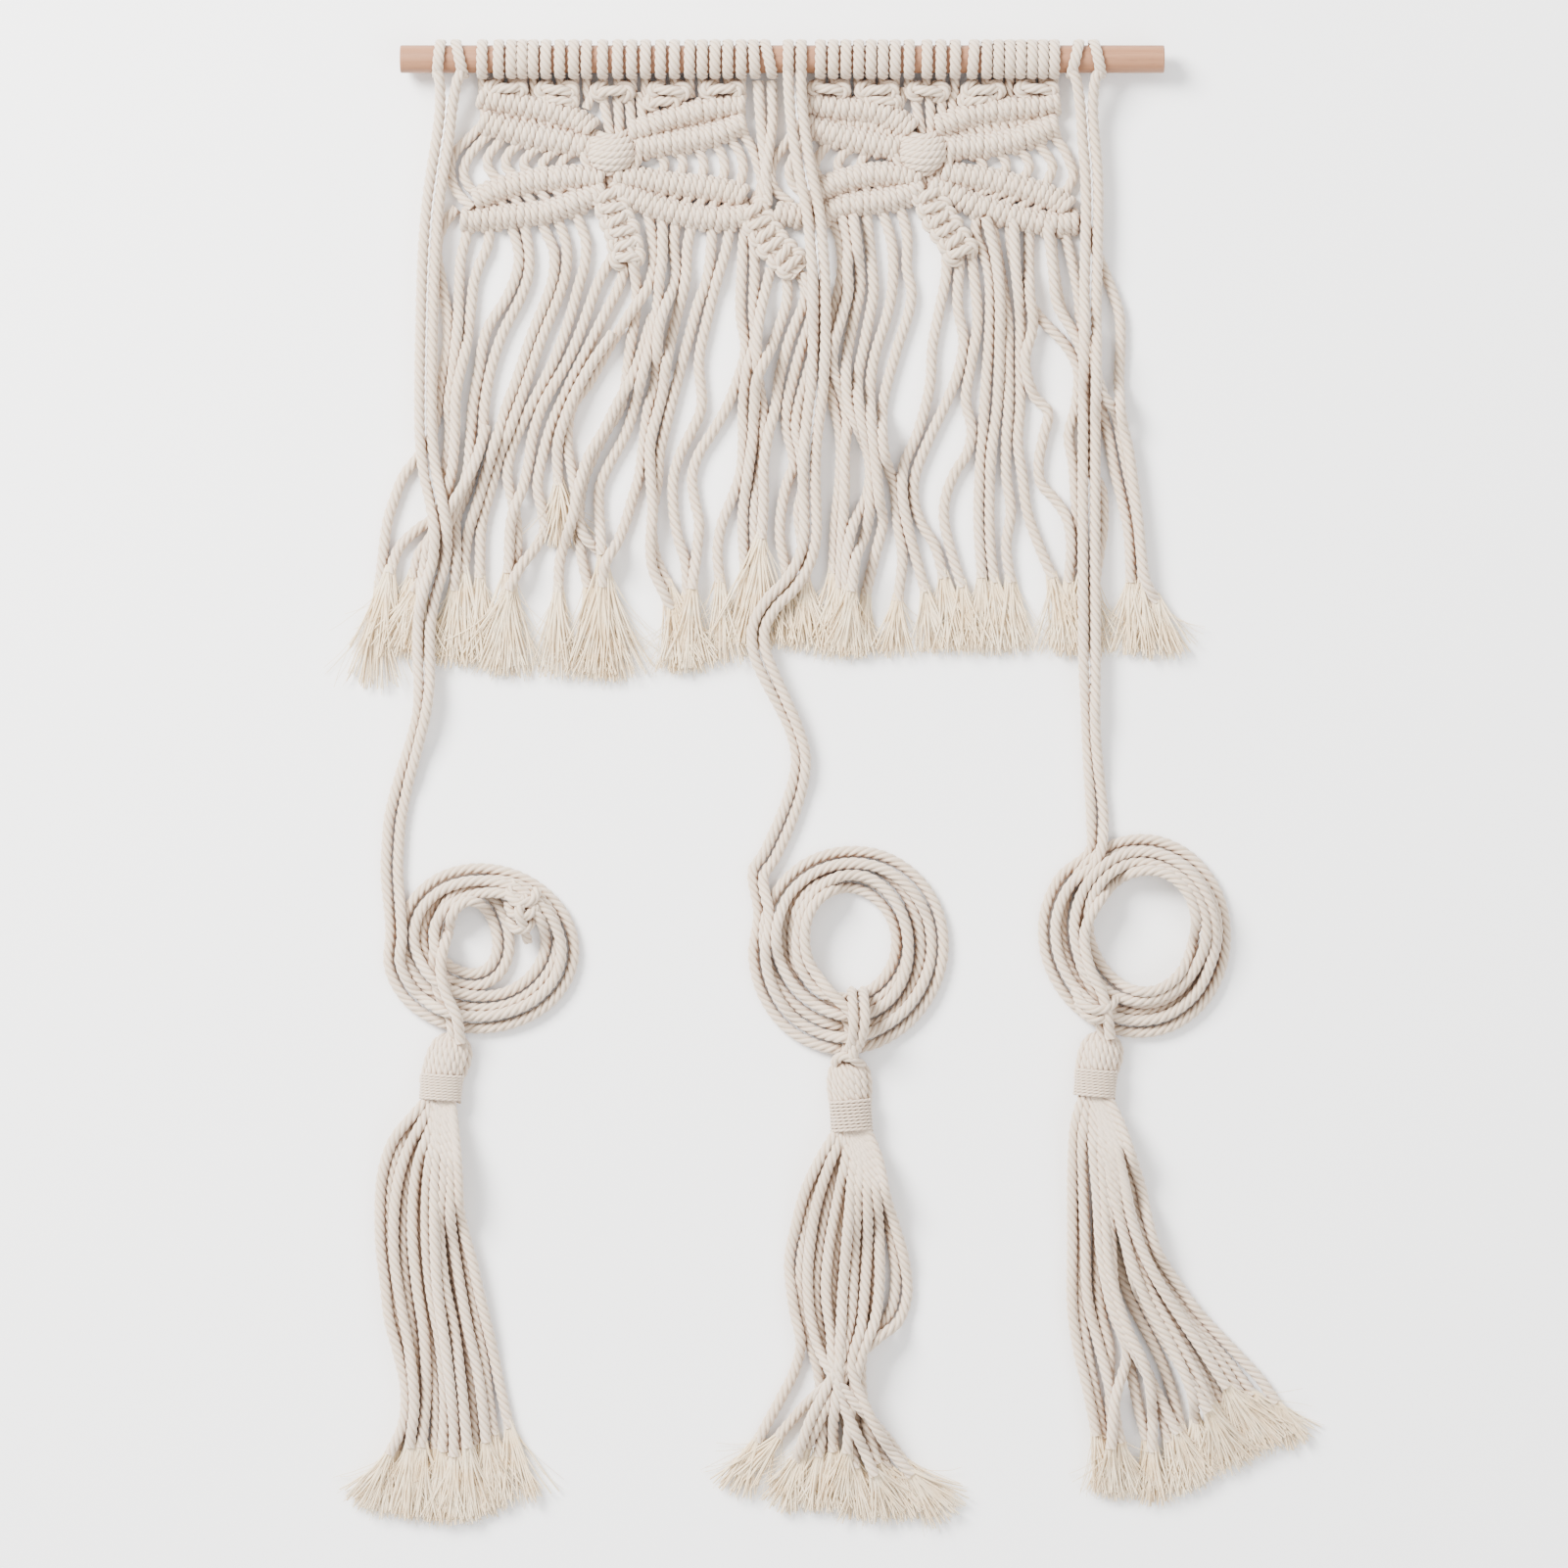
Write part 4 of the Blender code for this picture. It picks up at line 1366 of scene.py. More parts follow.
FRINGE = {
    "fringe_1": (
        Strand(((-141, -64), (-146, -70), (-149, -77), (-149.5, -85), (-148, -93), (-146.5, -102),
                (-145, -110), (-145, -125), (-147.5, -138), (-149, -150), (-153, -165), (-158, -172),
                (-164, -180), (-168, -190), (-171, -200), (-173, -215), (-174.5, -228)), 46, 0.07),
        Strand(((-135, -66), (-137, -77), (-139, -85), (-140, -100), (-140.5, -115), (-142.5, -135),
                (-144.5, -150), (-144, -160), (-146, -180), (-149, -196), (-158, -203), (-166, -211),
                (-170, -222))),
        Strand(((-126.5, -66), (-127.5, -80), (-131, -88), (-133.5, -96), (-134.5, -105), (-137, -125),
                (-141, -145), (-141.5, -160), (-143, -178), (-147, -194), (-152, -206), (-157, -213),
                (-160, -224))),
    ),
    "fringe_2": (
        Strand(((-91, -62), (-87, -72), (-85, -78), (-85.5, -88), (-88, -97), (-92.5, -113),
                (-99, -130), (-109, -150), (-113, -158), (-117, -168), (-119, -180), (-117, -190),
                (-115, -200), (-115, -215), (-117, -228))),
        Strand(((-100, -64), (-95.5, -73), (-93.5, -80), (-93.5, -90), (-96, -100), (-104, -120),
                (-111, -140), (-114.5, -150), (-118, -160), (-122, -170), (-126, -185), (-130, -200),
                (-131, -224))),
        Strand(((-106, -65), (-102, -75), (-99, -82), (-99, -92), (-101, -100), (-109, -120),
                (-115, -138), (-119.5, -150), (-124, -165), (-128, -178), (-132, -192), (-136, -205),
                (-138, -222))),
        Strand(((-113, -66), (-110.5, -77), (-109.5, -85), (-110, -93), (-113, -102), (-121, -118),
                (-126.5, -135), (-129, -150), (-130, -165), (-133, -175), (-137, -188), (-141, -198),
                (-141, -215), (-142, -229))),
        Strand(((-119, -67), (-115.5, -77), (-114, -85), (-115, -92), (-119, -102), (-128, -117),
                (-131.5, -135), (-134, -150), (-135, -165), (-136, -178), (-140, -190), (-144, -200),
                (-152, -220), (-160, -230))),
        Strand(((-128, -158), (-133, -175), (-138, -185), (-143, -193), (-147, -200), (-152, -208),
                (-155, -220), (-156, -232))),
        Strand(((-73, -84), (-77, -91), (-80, -97), (-83, -105), (-88.5, -120), (-93, -130),
                (-104, -150), (-108, -162), (-110, -175), (-113, -187), (-117, -198), (-118.5, -222))),
    ),
    "fringe_3": (
        Strand(((-67, -82), (-70, -96), (-77, -110), (-85, -126), (-93, -142), (-100, -158),
                (-104, -172), (-106, -185), (-104, -195), (-103, -203), (-107, -211), (-113, -219),
                (-118, -229))),
        Strand(((-66, -80), (-63, -100), (-66, -125), (-70, -150), (-76, -160), (-82, -172),
                (-86, -182), (-88, -197), (-87, -214), (-84, -228))),
        Strand(((-61, -56), (-57, -72), (-55.5, -86), (-58, -98), (-66, -110), (-75, -124), (-84, -140),
                (-91, -150), (-93, -165), (-91, -178), (-89, -190), (-88, -200), (-85, -207),
                (-79, -213), (-76, -226))),
        Strand(((-73, -118), (-84, -134), (-92, -150), (-97, -166), (-97, -184)), 30, 0.16),
        Strand(((-56, -110), (-64, -135), (-72, -150), (-77, -160), (-84, -172), (-88, -185),
                (-91, -200), (-96, -215), (-97, -230))),
    ),
    "fringe_4": (
        Strand(((-52, -64), (-52, -86), (-53, -94), (-54.5, -110), (-59, -130), (-64, -150), (-68, -162),
                (-75, -175), (-79, -185), (-79, -200), (-78, -214))),
        Strand(((-45, -66), (-47, -78), (-46, -93), (-48, -100), (-53, -115), (-55, -140), (-58, -150),
                (-60, -165), (-62, -180), (-65, -190), (-68, -200), (-72, -210), (-76, -217),
                (-78, -228))),
        Strand(((-30, -67), (-31.5, -88), (-33, -96), (-36, -104), (-40.5, -120), (-47, -145),
                (-50, -157), (-53, -170), (-54, -182), (-56.5, -200), (-55, -214), (-49, -228))),
        Strand(((-38, -67), (-41, -80), (-42, -96), (-46, -112), (-49.5, -128), (-52, -145), (-57, -165),
                (-57, -180), (-56, -195), (-57, -210), (-56, -220), (-52, -229), (-48, -237))),
        Strand(((-22.5, -67), (-24, -80), (-28.5, -96), (-32.5, -112), (-36, -130), (-35, -150),
                (-39, -160), (-44, -170), (-47, -180), (-47, -195), (-45, -207), (-42, -217),
                (-41, -232))),
        Strand(((-16, -66), (-17.5, -90), (-18, -110), (-16, -125), (-20, -140), (-25, -152),
                (-31, -162), (-36, -170), (-39, -180), (-38, -190), (-36, -200), (-37, -212),
                (-39, -229))),
    ),
    "fringe_5": (
        Strand(((-12.5, -70), (-12, -90), (-12.5, -108), (-12, -122), (-15, -133), (-17, -150),
                (-17, -165), (-18, -178), (-22, -190), (-26, -200), (-28, -212), (-27, -226))),
        Strand(((-5, -90), (-9, -107), (-11, -122), (-10, -140), (-8, -155), (-9, -170), (-11, -185),
                (-12, -200), (-11, -220))),
        Strand(((2, -92), (2, -104), (0, -111), (-5, -125), (-11, -139), (-12, -150), (-13, -165),
                (-15, -180), (-17, -195), (-17, -208), (-16, -220))),
        Strand(((7, -91), (10, -99), (9, -106), (6, -113), (3, -121), (-1, -136), (-3, -150), (-6, -162),
                (-8, -175), (-8, -190), (-9, -207))),
        Strand(((10, -92), (13, -108), (9, -122), (5, -136), (2, -150), (2, -160), (4, -168), (5, -175),
                (2, -183), (0, -192), (-1, -206), (2, -222))),
        Strand(((13, -92), (17, -112), (12, -132), (7, -150), (6, -160), (8, -170), (9, -185), (7, -195),
                (9, -212), (10, -226))),
    ),
    "fringe_6": (
        Strand(((19, -64), (24, -74), (26, -88), (24, -102), (21, -116), (19, -132), (22, -148),
                (25, -162), (25, -180), (23, -200), (22, -222))),
        Strand(((25, -64), (28.5, -80), (28, -90), (28.5, -100), (26, -110), (22, -126), (22, -134),
                (25, -142), (28, -155), (27, -170), (27, -185), (26, -205), (25, -228))),
        Strand(((30, -64), (33.5, -90), (33.5, -100), (31.5, -110), (28, -128), (27.5, -138), (29, -150),
                (33, -160), (37, -170), (38, -180), (36, -190), (31, -200), (28, -214), (28, -230))),
        Strand(((36, -62), (39, -90), (39.5, -100), (36, -120), (32.5, -140), (34, -155), (38, -172),
                (38, -192), (36, -205), (32, -215), (30, -230))),
        Strand(((42, -61), (47.5, -80), (47.5, -100), (45.5, -110), (39.5, -130), (38, -150), (40, -170),
                (42, -190), (43.5, -200), (40, -215), (36, -232))),
        Strand(((49, -58), (54, -75), (54, -90), (56, -100), (55, -108), (49, -127), (43.5, -150),
                (44, -170), (48.5, -184), (50, -200), (52, -215), (50, -234))),
    ),
    "fringe_7": (
        Strand(((71, -82), (71, -92), (68, -108), (65, -124), (64, -140), (59, -160), (52.5, -176),
                (52, -188), (54, -200), (57, -212), (62, -230))),
        Strand(((77, -84), (76, -106), (78.5, -122), (75.5, -137), (71, -148), (63.5, -164),
                (57.5, -180), (57, -190), (60, -200), (66, -210), (70, -224))),
        Strand(((82, -84), (84.5, -112), (82, -130), (79.5, -147), (82, -160), (80, -170), (75, -178),
                (71, -188), (70, -198), (73, -212), (78, -228))),
    ),
    "fringe_8": (
        Strand(((84.5, -64), (84, -76), (87, -83), (89.5, -92), (90, -110), (87.5, -150), (85.5, -180),
                (85, -200), (86.5, -224))),
        Strand(((90, -66), (93.5, -86), (97.5, -112), (98, -130), (98, -150), (97, -165), (97, -180),
                (99, -195), (97, -210), (99, -226))),
        Strand(((88, -68), (92, -84), (94, -100), (94, -130), (93, -150), (91, -165), (90, -180),
                (90, -210), (92, -226))),
    ),
    "fringe_9": (
        Strand(((98, -67), (100, -86), (104.5, -100), (109, -108), (114, -114), (119, -119), (124, -125),
                (128, -134), (127, -150), (124, -162), (126, -175), (127, -190), (128, -205),
                (130, -224))),
        Strand(((100, -68), (101, -90), (103, -110), (103, -130), (103, -150), (102, -165), (104, -180),
                (106, -195), (110, -207), (117, -224))),
        Strand(((107, -68), (107, -100), (108.5, -115), (105, -130), (109, -145), (115, -152),
                (113, -163), (111, -175), (112, -183), (118, -190), (123, -198), (125, -210),
                (124, -226))),
        Strand(((116, -69), (118, -92), (121, -108), (128, -122), (132, -136), (134, -150), (133, -165),
                (134, -178), (138, -185), (139, -200), (137, -215), (135, -228))),
        Strand(((114.5, -69), (117, -90), (119, -106), (126, -118), (132, -131), (135, -140),
                (138, -150), (141, -162), (144, -178), (147, -190), (150, -205), (151, -226))),
        Strand(((121, -69), (126, -90), (128.5, -104), (129, -112), (134, -130), (139, -146),
                (144, -152), (147, -165), (150, -180), (153, -195), (155, -210), (156, -226))),
        Strand(((127, -68), (133, -74), (135, -80), (139, -90), (143, -100), (146, -110), (146.5, -120),
                (146, -150), (150, -170), (152, -185), (154, -200), (155.5, -215), (157, -225),
                (162, -234))),
    ),
}


@dataclass
class Fringe:
    """The long strands that hang under the wings, with frayed ends.

    A frayed end is cut past the cut line by over, and it swings out by a share of the heading
    that its strand ends with.
    """

    shop: Workshop
    least_frays: float = 24.0
    over: float = 2.0
    swing: float = 0.6

    def fray_length(self, strand: Strand, end: np.ndarray) -> float:
        """Length of a strand's frayed end, which reaches the cut line where it is not given.

        Args:
            strand: The strand.
            end: Where its cord ends.

        Returns:
            The length in millimetres.
        """
        if strand.frays:
            return strand.frays
        across, cut = np.array(CUT_LINE).T
        return max(self.least_frays, end[1] - float(np.interp(end[0], across, cut)) + self.over)

    def build(self) -> None:
        """Lay every strand and fray its end."""
        frays = FrayMaker()
        down = -math.pi / 2
        for node, strands in FRINGE.items():
            cords = []
            for strand in strands:
                cord = self.shop.lay(strand.route)
                cords.append(cord)
                end = cord.points[-1]
                heading = (heading_of(cord.points) - down) * self.swing + down
                frays.fray(end, heading, self.fray_length(strand, end), strand.fan)
            self.shop.place(f"{node}_strands", cords, "root", (node,))
        self.shop.settle(frays.piece("fringe_frayed_ends", self.shop.frayed), "root")


# ------------------------------------------------------------------------------ drops and coils

LEVELS = (3.1, 8.0, 12.2)


@dataclass(frozen=True)
class Turns:
    """Turns of one cord of a pair in its coil, worked out as an oval spiral.

    Each oval has the middle x and y and the half sizes across and up of the pair's middle line,
    at a count of turns from the start. The cord starts at a heading, in degrees from +X.
    """

    ovals: tuple[tuple[float, Point, Point], ...]
    start: float
    count: float
    finish: Route
    stops: int = 15
    wave: float = 0.7
    wave_rate: float = 2.6

    def route(self, spread: float) -> list[Point]:
        """Plan points of the turns.

        Args:
            spread: How far out the cord lies from the pair's middle, in millimetres.

        Returns:
            The points in order.
        """
        keys = [oval[0] for oval in self.ovals]
        sizes = np.array([[*oval[1], *oval[2]] for oval in self.ovals])
        points = []
        for turn in np.linspace(0.0, self.count, int(self.count * self.stops) + 1):
            x, y, across, up = (np.interp(turn, keys, sizes[:, column]) for column in range(4))
            angle = math.radians(self.start + 360 * turn)
            wave = self.wave * math.sin(angle * self.wave_rate + self.start)
            points.append((x + (across + spread + wave) * math.cos(angle),
                           y + (up + spread + wave) * math.sin(angle)))
        return points


@dataclass(frozen=True)
class Drop:
    """A doubled cord.

    It has the x at which each cord of the pair leaves its loop, by the side it lies on, then the
    pair's x, y and layer (0 on the floor, 1 on the fringe, 2 on the knots), and last its coil.
    """

    tops: dict[Hand, float]
    route: Solid
    turns: Turns


DROPS = {
    "left": Drop(
        {Hand.LEFT: -148.8, Hand.RIGHT: -138.0},
        ((-144.5, -12.8, 1.43), (-145.2, -21, 1.24), (-146.6, -33, 1.05), (-149, -48, 1), (-151, -62, 1),
         (-152.2, -76, 1), (-153, -90, 1), (-153.8, -118, 1), (-154.2, -146, 1), (-154, -163, 1),
         (-152.4, -178, 1), (-149.4, -192, 1), (-147.4, -205, 1), (-148.6, -218, 1), (-152.2, -230, 1),
         (-154.6, -243, 1), (-155, -257, 1), (-154.8, -270, 0.96), (-155.8, -282, 0.43),
         (-158.4, -293, 0), (-161.6, -304, 0), (-165, -316, 0), (-167.7, -329, 0), (-168.7, -342, 0),
         (-169, -352, 0)),
        Turns(((0.0, (-130.7, -384.5), (37.3, 32.5)), (0.75, (-130.7, -384.5), (37.3, 32.5)),
               (1.25, (-128.5, -382), (29, 25)), (1.75, (-128.5, -382), (29, 25)),
               (2.3, (-134, -379.5), (13.5, 18.5)), (3.0, (-134.5, -380), (13.5, 18))), 168, 3.0,
              ((-149, -392), (-147, -403), (-142, -414), (-140.5, -425)))),
    "middle": Drop(
        {Hand.LEFT: 2.6, Hand.RIGHT: 8.2},
        ((5.3, -12.8, 2), (6, -21, 2), (7.2, -32, 2), (9, -44, 2), (11.4, -56, 2), (13.5, -67, 2),
         (14.6, -78, 2), (15.5, -90, 1.95), (16, -103, 1.3), (16.2, -116, 1), (15.8, -129, 1),
         (15, -142, 1), (13.4, -155, 1), (12, -168, 1), (11.6, -181, 1), (12, -194, 1), (12, -206, 1),
         (9.4, -217, 1), (3.4, -227, 1), (-4.4, -235, 1), (-10, -245, 1), (-9.8, -256, 1.05),
         (-5.4, -267, 0.92), (0, -278, 0.43), (5, -289, 0.08), (8, -301, 0), (6.8, -313, 0),
         (3, -325, 0), (-1.6, -336, 0), (-6, -345, 0), (-10.4, -352, 0)),
        Turns(((0.0, (28, -384.3), (38.6, 40.7)), (0.75, (28, -384.3), (39, 40.7)),
               (1.25, (28.7, -383), (29, 33)), (1.75, (28.7, -383), (29, 33)),
               (2.3, (29, -381.5), (22.5, 27)), (3.2, (29, -381.5), (22, 26))), 160, 3.12,
              ((20, -404), (28, -412), (31, -421), (28.6, -431)))),
    "right": Drop(
        {Hand.LEFT: 125.2, Hand.RIGHT: 137.0},
        ((131, -12.8, 1.43), (131.6, -22, 1.24), (132.4, -34, 1.07), (133.6, -48, 1), (134, -62, 1),
         (133.8, -76, 1), (133.2, -104, 1), (132.9, -132, 1), (132.7, -160, 1), (132.6, -188, 1),
         (132.6, -216, 1), (132.8, -244, 1), (132.8, -257, 1), (133, -269, 0.96), (133.3, -281, 0.43),
         (133.8, -293, 0), (134.6, -305, 0), (135.6, -317, 0), (136.4, -329, 0)),
        Turns(((0.0, (153, -378.5), (37, 39.5)), (0.75, (153, -378.5), (37, 39.5)),
               (1.25, (155, -376.5), (30, 33.5)), (1.75, (155, -376.5), (30, 33.5)),
               (2.3, (156.5, -376), (25.5, 29)), (3.2, (156.5, -376), (24.5, 28))), 120, 3.05,
              ((129, -377), (131, -392), (137, -405), (140.2, -423)))),
}

# Cords tied over the coils, with their heights
COIL_TIES = {
    "left_coil_tie": (
        ((-116, -356, 8.0), (-118, -361, 12.5), (-114, -364.5, 15.0), (-108, -363.5, 13.0),
         (-106, -359, 8.5)),
        ((-118.5, -365, 8.5), (-116, -369.5, 13.0), (-110, -370, 14.5), (-106.5, -366, 11.5)),
        ((-107.5, -370, 8.5), (-110, -375, 12.0), (-115, -376, 12.5), (-118, -371.5, 9.0)),
        ((-111, -362, 11.0), (-113.5, -368, 16.0), (-111.5, -375, 12.5), (-110, -381, 6.0))),
    "middle_coil_tie": (
        ((30, -402.5, 5.0), (30.2, -407, 14.5), (30.8, -415, 18.0), (30.4, -423, 15.0), (28, -430, 7.0)),
        ((34.8, -402.5, 5.0), (35.2, -407, 14.5), (35.6, -415, 18.0), (34.2, -423, 15.0), (31, -430, 7.0)),
        ((22.5, -434, 6.5), (25, -431, 9.5), (30, -431.5, 11.0), (34.5, -435, 7.0))),
    "right_coil_tie": (
        ((126.5, -402, 7.5), (129, -407.5, 13.0), (134, -410.5, 15.5), (140, -410, 14.0), (144, -406, 9.0)),
        ((128, -408, 7.0), (131.5, -412.8, 12.0), (136.5, -414.6, 13.6), (142, -412.6, 11.0))),
}


@dataclass
class Drops:
    """The three doubled cords that hang from the dowel and end in a coil.

    The pair lies apart by pair_reach each side of its middle, times the share that drawn gives
    at each y. A cord may sink by slack below its layer, and never lies below floor.
    """

    shop: Workshop
    pair_reach: float = 2.65
    drawn: Route = ((-330.0, 1.0), (-302.0, 0.78), (-286.0, 0.66), (-262.0, 1.0))
    top_edge: float = -5.4
    top_height: float = 13.7
    bulge: tuple[float, float, float] = (0.0, 0.4, 0.6)
    floor: float = 2.6
    slack: float = 0.6
    finish_reach: float = 1.6

    def strand(self, drop: Drop, hand: Hand) -> np.ndarray:
        """Whole course of one cord of a pair, laid on what is below it.

        Args:
            drop: The doubled cord.
            hand: The side of the pair that the cord lies on.

        Returns:
            The cord's points.
        """
        out, step = hand.value, COTTON_CORD.step
        spine = np.array([(x, y, np.interp(layer, (0, 1, 2), LEVELS)) for x, y, layer in drop.route])
        heights, shares = np.array(self.drawn).T
        fall = beside(spine, out * self.pair_reach * np.interp(spine[:, 1], heights, shares))
        top = np.array([drop.tops[hand], self.top_edge, self.top_height])
        fall = np.vstack([top, (top + fall[0]) / 2 + np.array(self.bulge), fall[1:]])
        coil = drop.turns.route(-out * self.pair_reach)
        finish = [(x + out * self.finish_reach, y) for x, y in drop.turns.finish]
        smooth = smooth_route([tuple(point[:2]) for point in fall] + coil + finish, step)
        count = len(smooth_route(fall[:, :2], step))
        keys = np.linalg.norm(np.diff(fall[:, :2], axis=0), axis=1).cumsum()
        keys = np.concatenate([[0.0], keys]) / keys[-1] * (count - 1)
        least = np.full(len(smooth), self.floor)
        least[:count] = np.maximum(np.interp(np.arange(count), keys, fall[:, 2]) - self.slack, self.floor)
        return self.shop.pile.lay(smooth, self.floor, least=least)

    def build(self) -> None:
        """Make the six cords and what is tied over the coils."""
        for side, drop in DROPS.items():
            for letter, hand in zip("ab", Hand):
                points = self.strand(drop, hand)
                cord = Cord(points, COTTON_CORD)
                nodes = (f"{side}_drop_{letter}",) + ((f"{side}_coil",) if letter == "b" else ())
                piece = self.shop.place(f"{side}_drop_cord_{letter}", [cord], "root", nodes)
                LOG.info("%s: %.0f mm long", piece.name, cord.length())
        for name, routes in COIL_TIES.items():
            ties = Knots(self.shop)
            for route in routes:
                ties.cord(route)
            self.shop.place(name, ties.cords, "root")


# ------------------------------------------------------------------------------------- tassels

@dataclass(frozen=True)
class Tassel:
    """A tassel: the ends of its head and of its wrap along its axis, and its skirt's strands."""

    head: tuple[Point, Point]
    wrap: tuple[Point, Point]
    skirt: tuple[Strand, ...]


TASSELS = {
    "left": Tassel(((-142.5, -427), (-147, -439)), ((-147, -439), (-148, -450)), (
        Strand(((-150, -446), (-160, -457), (-168, -467), (-173, -482), (-174, -510), (-172, -528),
                (-170, -545), (-166, -560), (-163, -575), (-164, -590), (-170, -603)), 30, 0.13),
        Strand(((-144, -446), (-142, -460), (-140, -480), (-139, -500), (-134, -520), (-130, -538),
                (-126, -555), (-122, -575), (-118, -592)), 36, 0.13),
        Strand(((-147, -446), (-152, -462), (-158, -480), (-160, -505), (-158, -530), (-155, -550),
                (-154, -575), (-156, -600)), 34, 0.13),
        Strand(((-146, -446), (-146, -462), (-146, -482), (-148, -505), (-146, -528), (-142, -548),
                (-139, -570), (-136, -600)), 34, 0.13),
        Strand(((-149, -446), (-156, -460), (-163, -474), (-167, -490), (-168, -515), (-165, -538),
                (-161, -560), (-159, -580), (-161, -600)), 34, 0.13),
        Strand(((-148, -446), (-150, -464), (-153, -484), (-154, -508), (-152, -532), (-148, -555),
                (-146, -580), (-147, -602)), 34, 0.13),
        Strand(((-145, -446), (-143, -462), (-143, -482), (-143, -504), (-140, -526), (-136, -548),
                (-131, -572), (-128, -598)), 32, 0.13),
        Strand(((-147, -446), (-149, -470), (-150, -500), (-149, -530), (-145, -560), (-142, -590),
                (-142, -604)), 32, 0.13))),
    "middle": Tassel(((28.8, -437), (29.4, -450)), ((29.4, -450), (30, -463.5)), (
        Strand(((26, -460), (17, -474), (10, -489), (6, -504), (3, -520), (5, -540), (8, -556),
                (5, -568), (0, -578), (-6, -589), (-11, -598)), 28, 0.15),
        Strand(((35, -460), (41, -474), (45, -492), (49, -505), (53, -520), (54, -535), (50, -546),
                (42, -552), (33, -560), (22, -570), (10, -582), (-2, -596)), 28, 0.15),
        Strand(((34, -460), (38, -476), (41, -494), (42, -512), (42, -530), (40, -545), (34, -560),
                (30, -580), (28, -602)), 26, 0.15),
        Strand(((28, -460), (21, -476), (15, -494), (12, -512), (11, -530), (13, -548), (18, -562),
                (28, -576), (42, -592), (53, -607)), 30, 0.17),
        Strand(((30, -460), (27, -478), (23, -498), (20, -516), (19, -534), (21, -550), (22, -564),
                (26, -580), (34, -598), (40, -612)), 24, 0.15),
        Strand(((32, -460), (33, -480), (32, -500), (31, -520), (30, -540), (27, -556), (20, -572),
                (12, -588), (6, -606)), 26, 0.15),
        Strand(((31, -460), (30, -484), (28, -510), (26, -535), (25, -555), (24, -572), (22, -590),
                (22, -602)), 28, 0.15),
        Strand(((33, -460), (36, -482), (37, -505), (36, -528), (34, -548), (30, -564), (36, -582),
                (46, -600), (56, -612)), 28, 0.17))),
    "right": Tassel(((139, -426), (136, -437)), ((136, -437), (134.8, -448.5)), (
        Strand(((132, -444), (127, -458), (125.5, -480), (125.5, -510), (125.5, -540), (128, -558),
                (132, -575), (136, -595)), 28, 0.13),
        Strand(((138, -444), (145, -458), (150, -472), (155, -487), (158, -502), (162, -515),
                (170, -528), (181, -543), (195, -558), (207, -571), (214, -581)), 24, 0.13),
        Strand(((137, -444), (142, -460), (146, -478), (150, -497), (155, -514), (165, -532),
                (177, -548), (189, -563), (198, -577)), 30, 0.13),
        Strand(((133, -444), (130, -462), (130, -485), (131, -510), (132, -535), (137, -556),
                (142, -576), (146, -598)), 28, 0.13),
        Strand(((136, -444), (139, -462), (141, -485), (142, -510), (143, -530), (146, -548),
                (149, -560), (144, -578), (142, -600)), 24, 0.13),
        Strand(((136, -444), (140, -464), (144, -488), (148, -510), (153, -530), (163, -550),
                (174, -568), (184, -584)), 32, 0.13),
        Strand(((134, -444), (134, -466), (136, -492), (138, -518), (143, -540), (153, -560),
                (163, -578), (171, -594)), 28, 0.13),
        Strand(((135, -444), (137, -466), (139, -495), (141, -522), (148, -546), (157, -566),
                (160, -584), (160, -602)), 26, 0.13),
        Strand(((136, -444), (142, -462), (147, -484), (152, -506), (160, -524), (171, -542),
                (183, -560), (192, -574)), 34, 0.15),
        Strand(((135, -444), (138, -466), (143, -490), (149, -514), (157, -536), (168, -556),
                (176, -574), (179, -589)), 28, 0.15))),
}


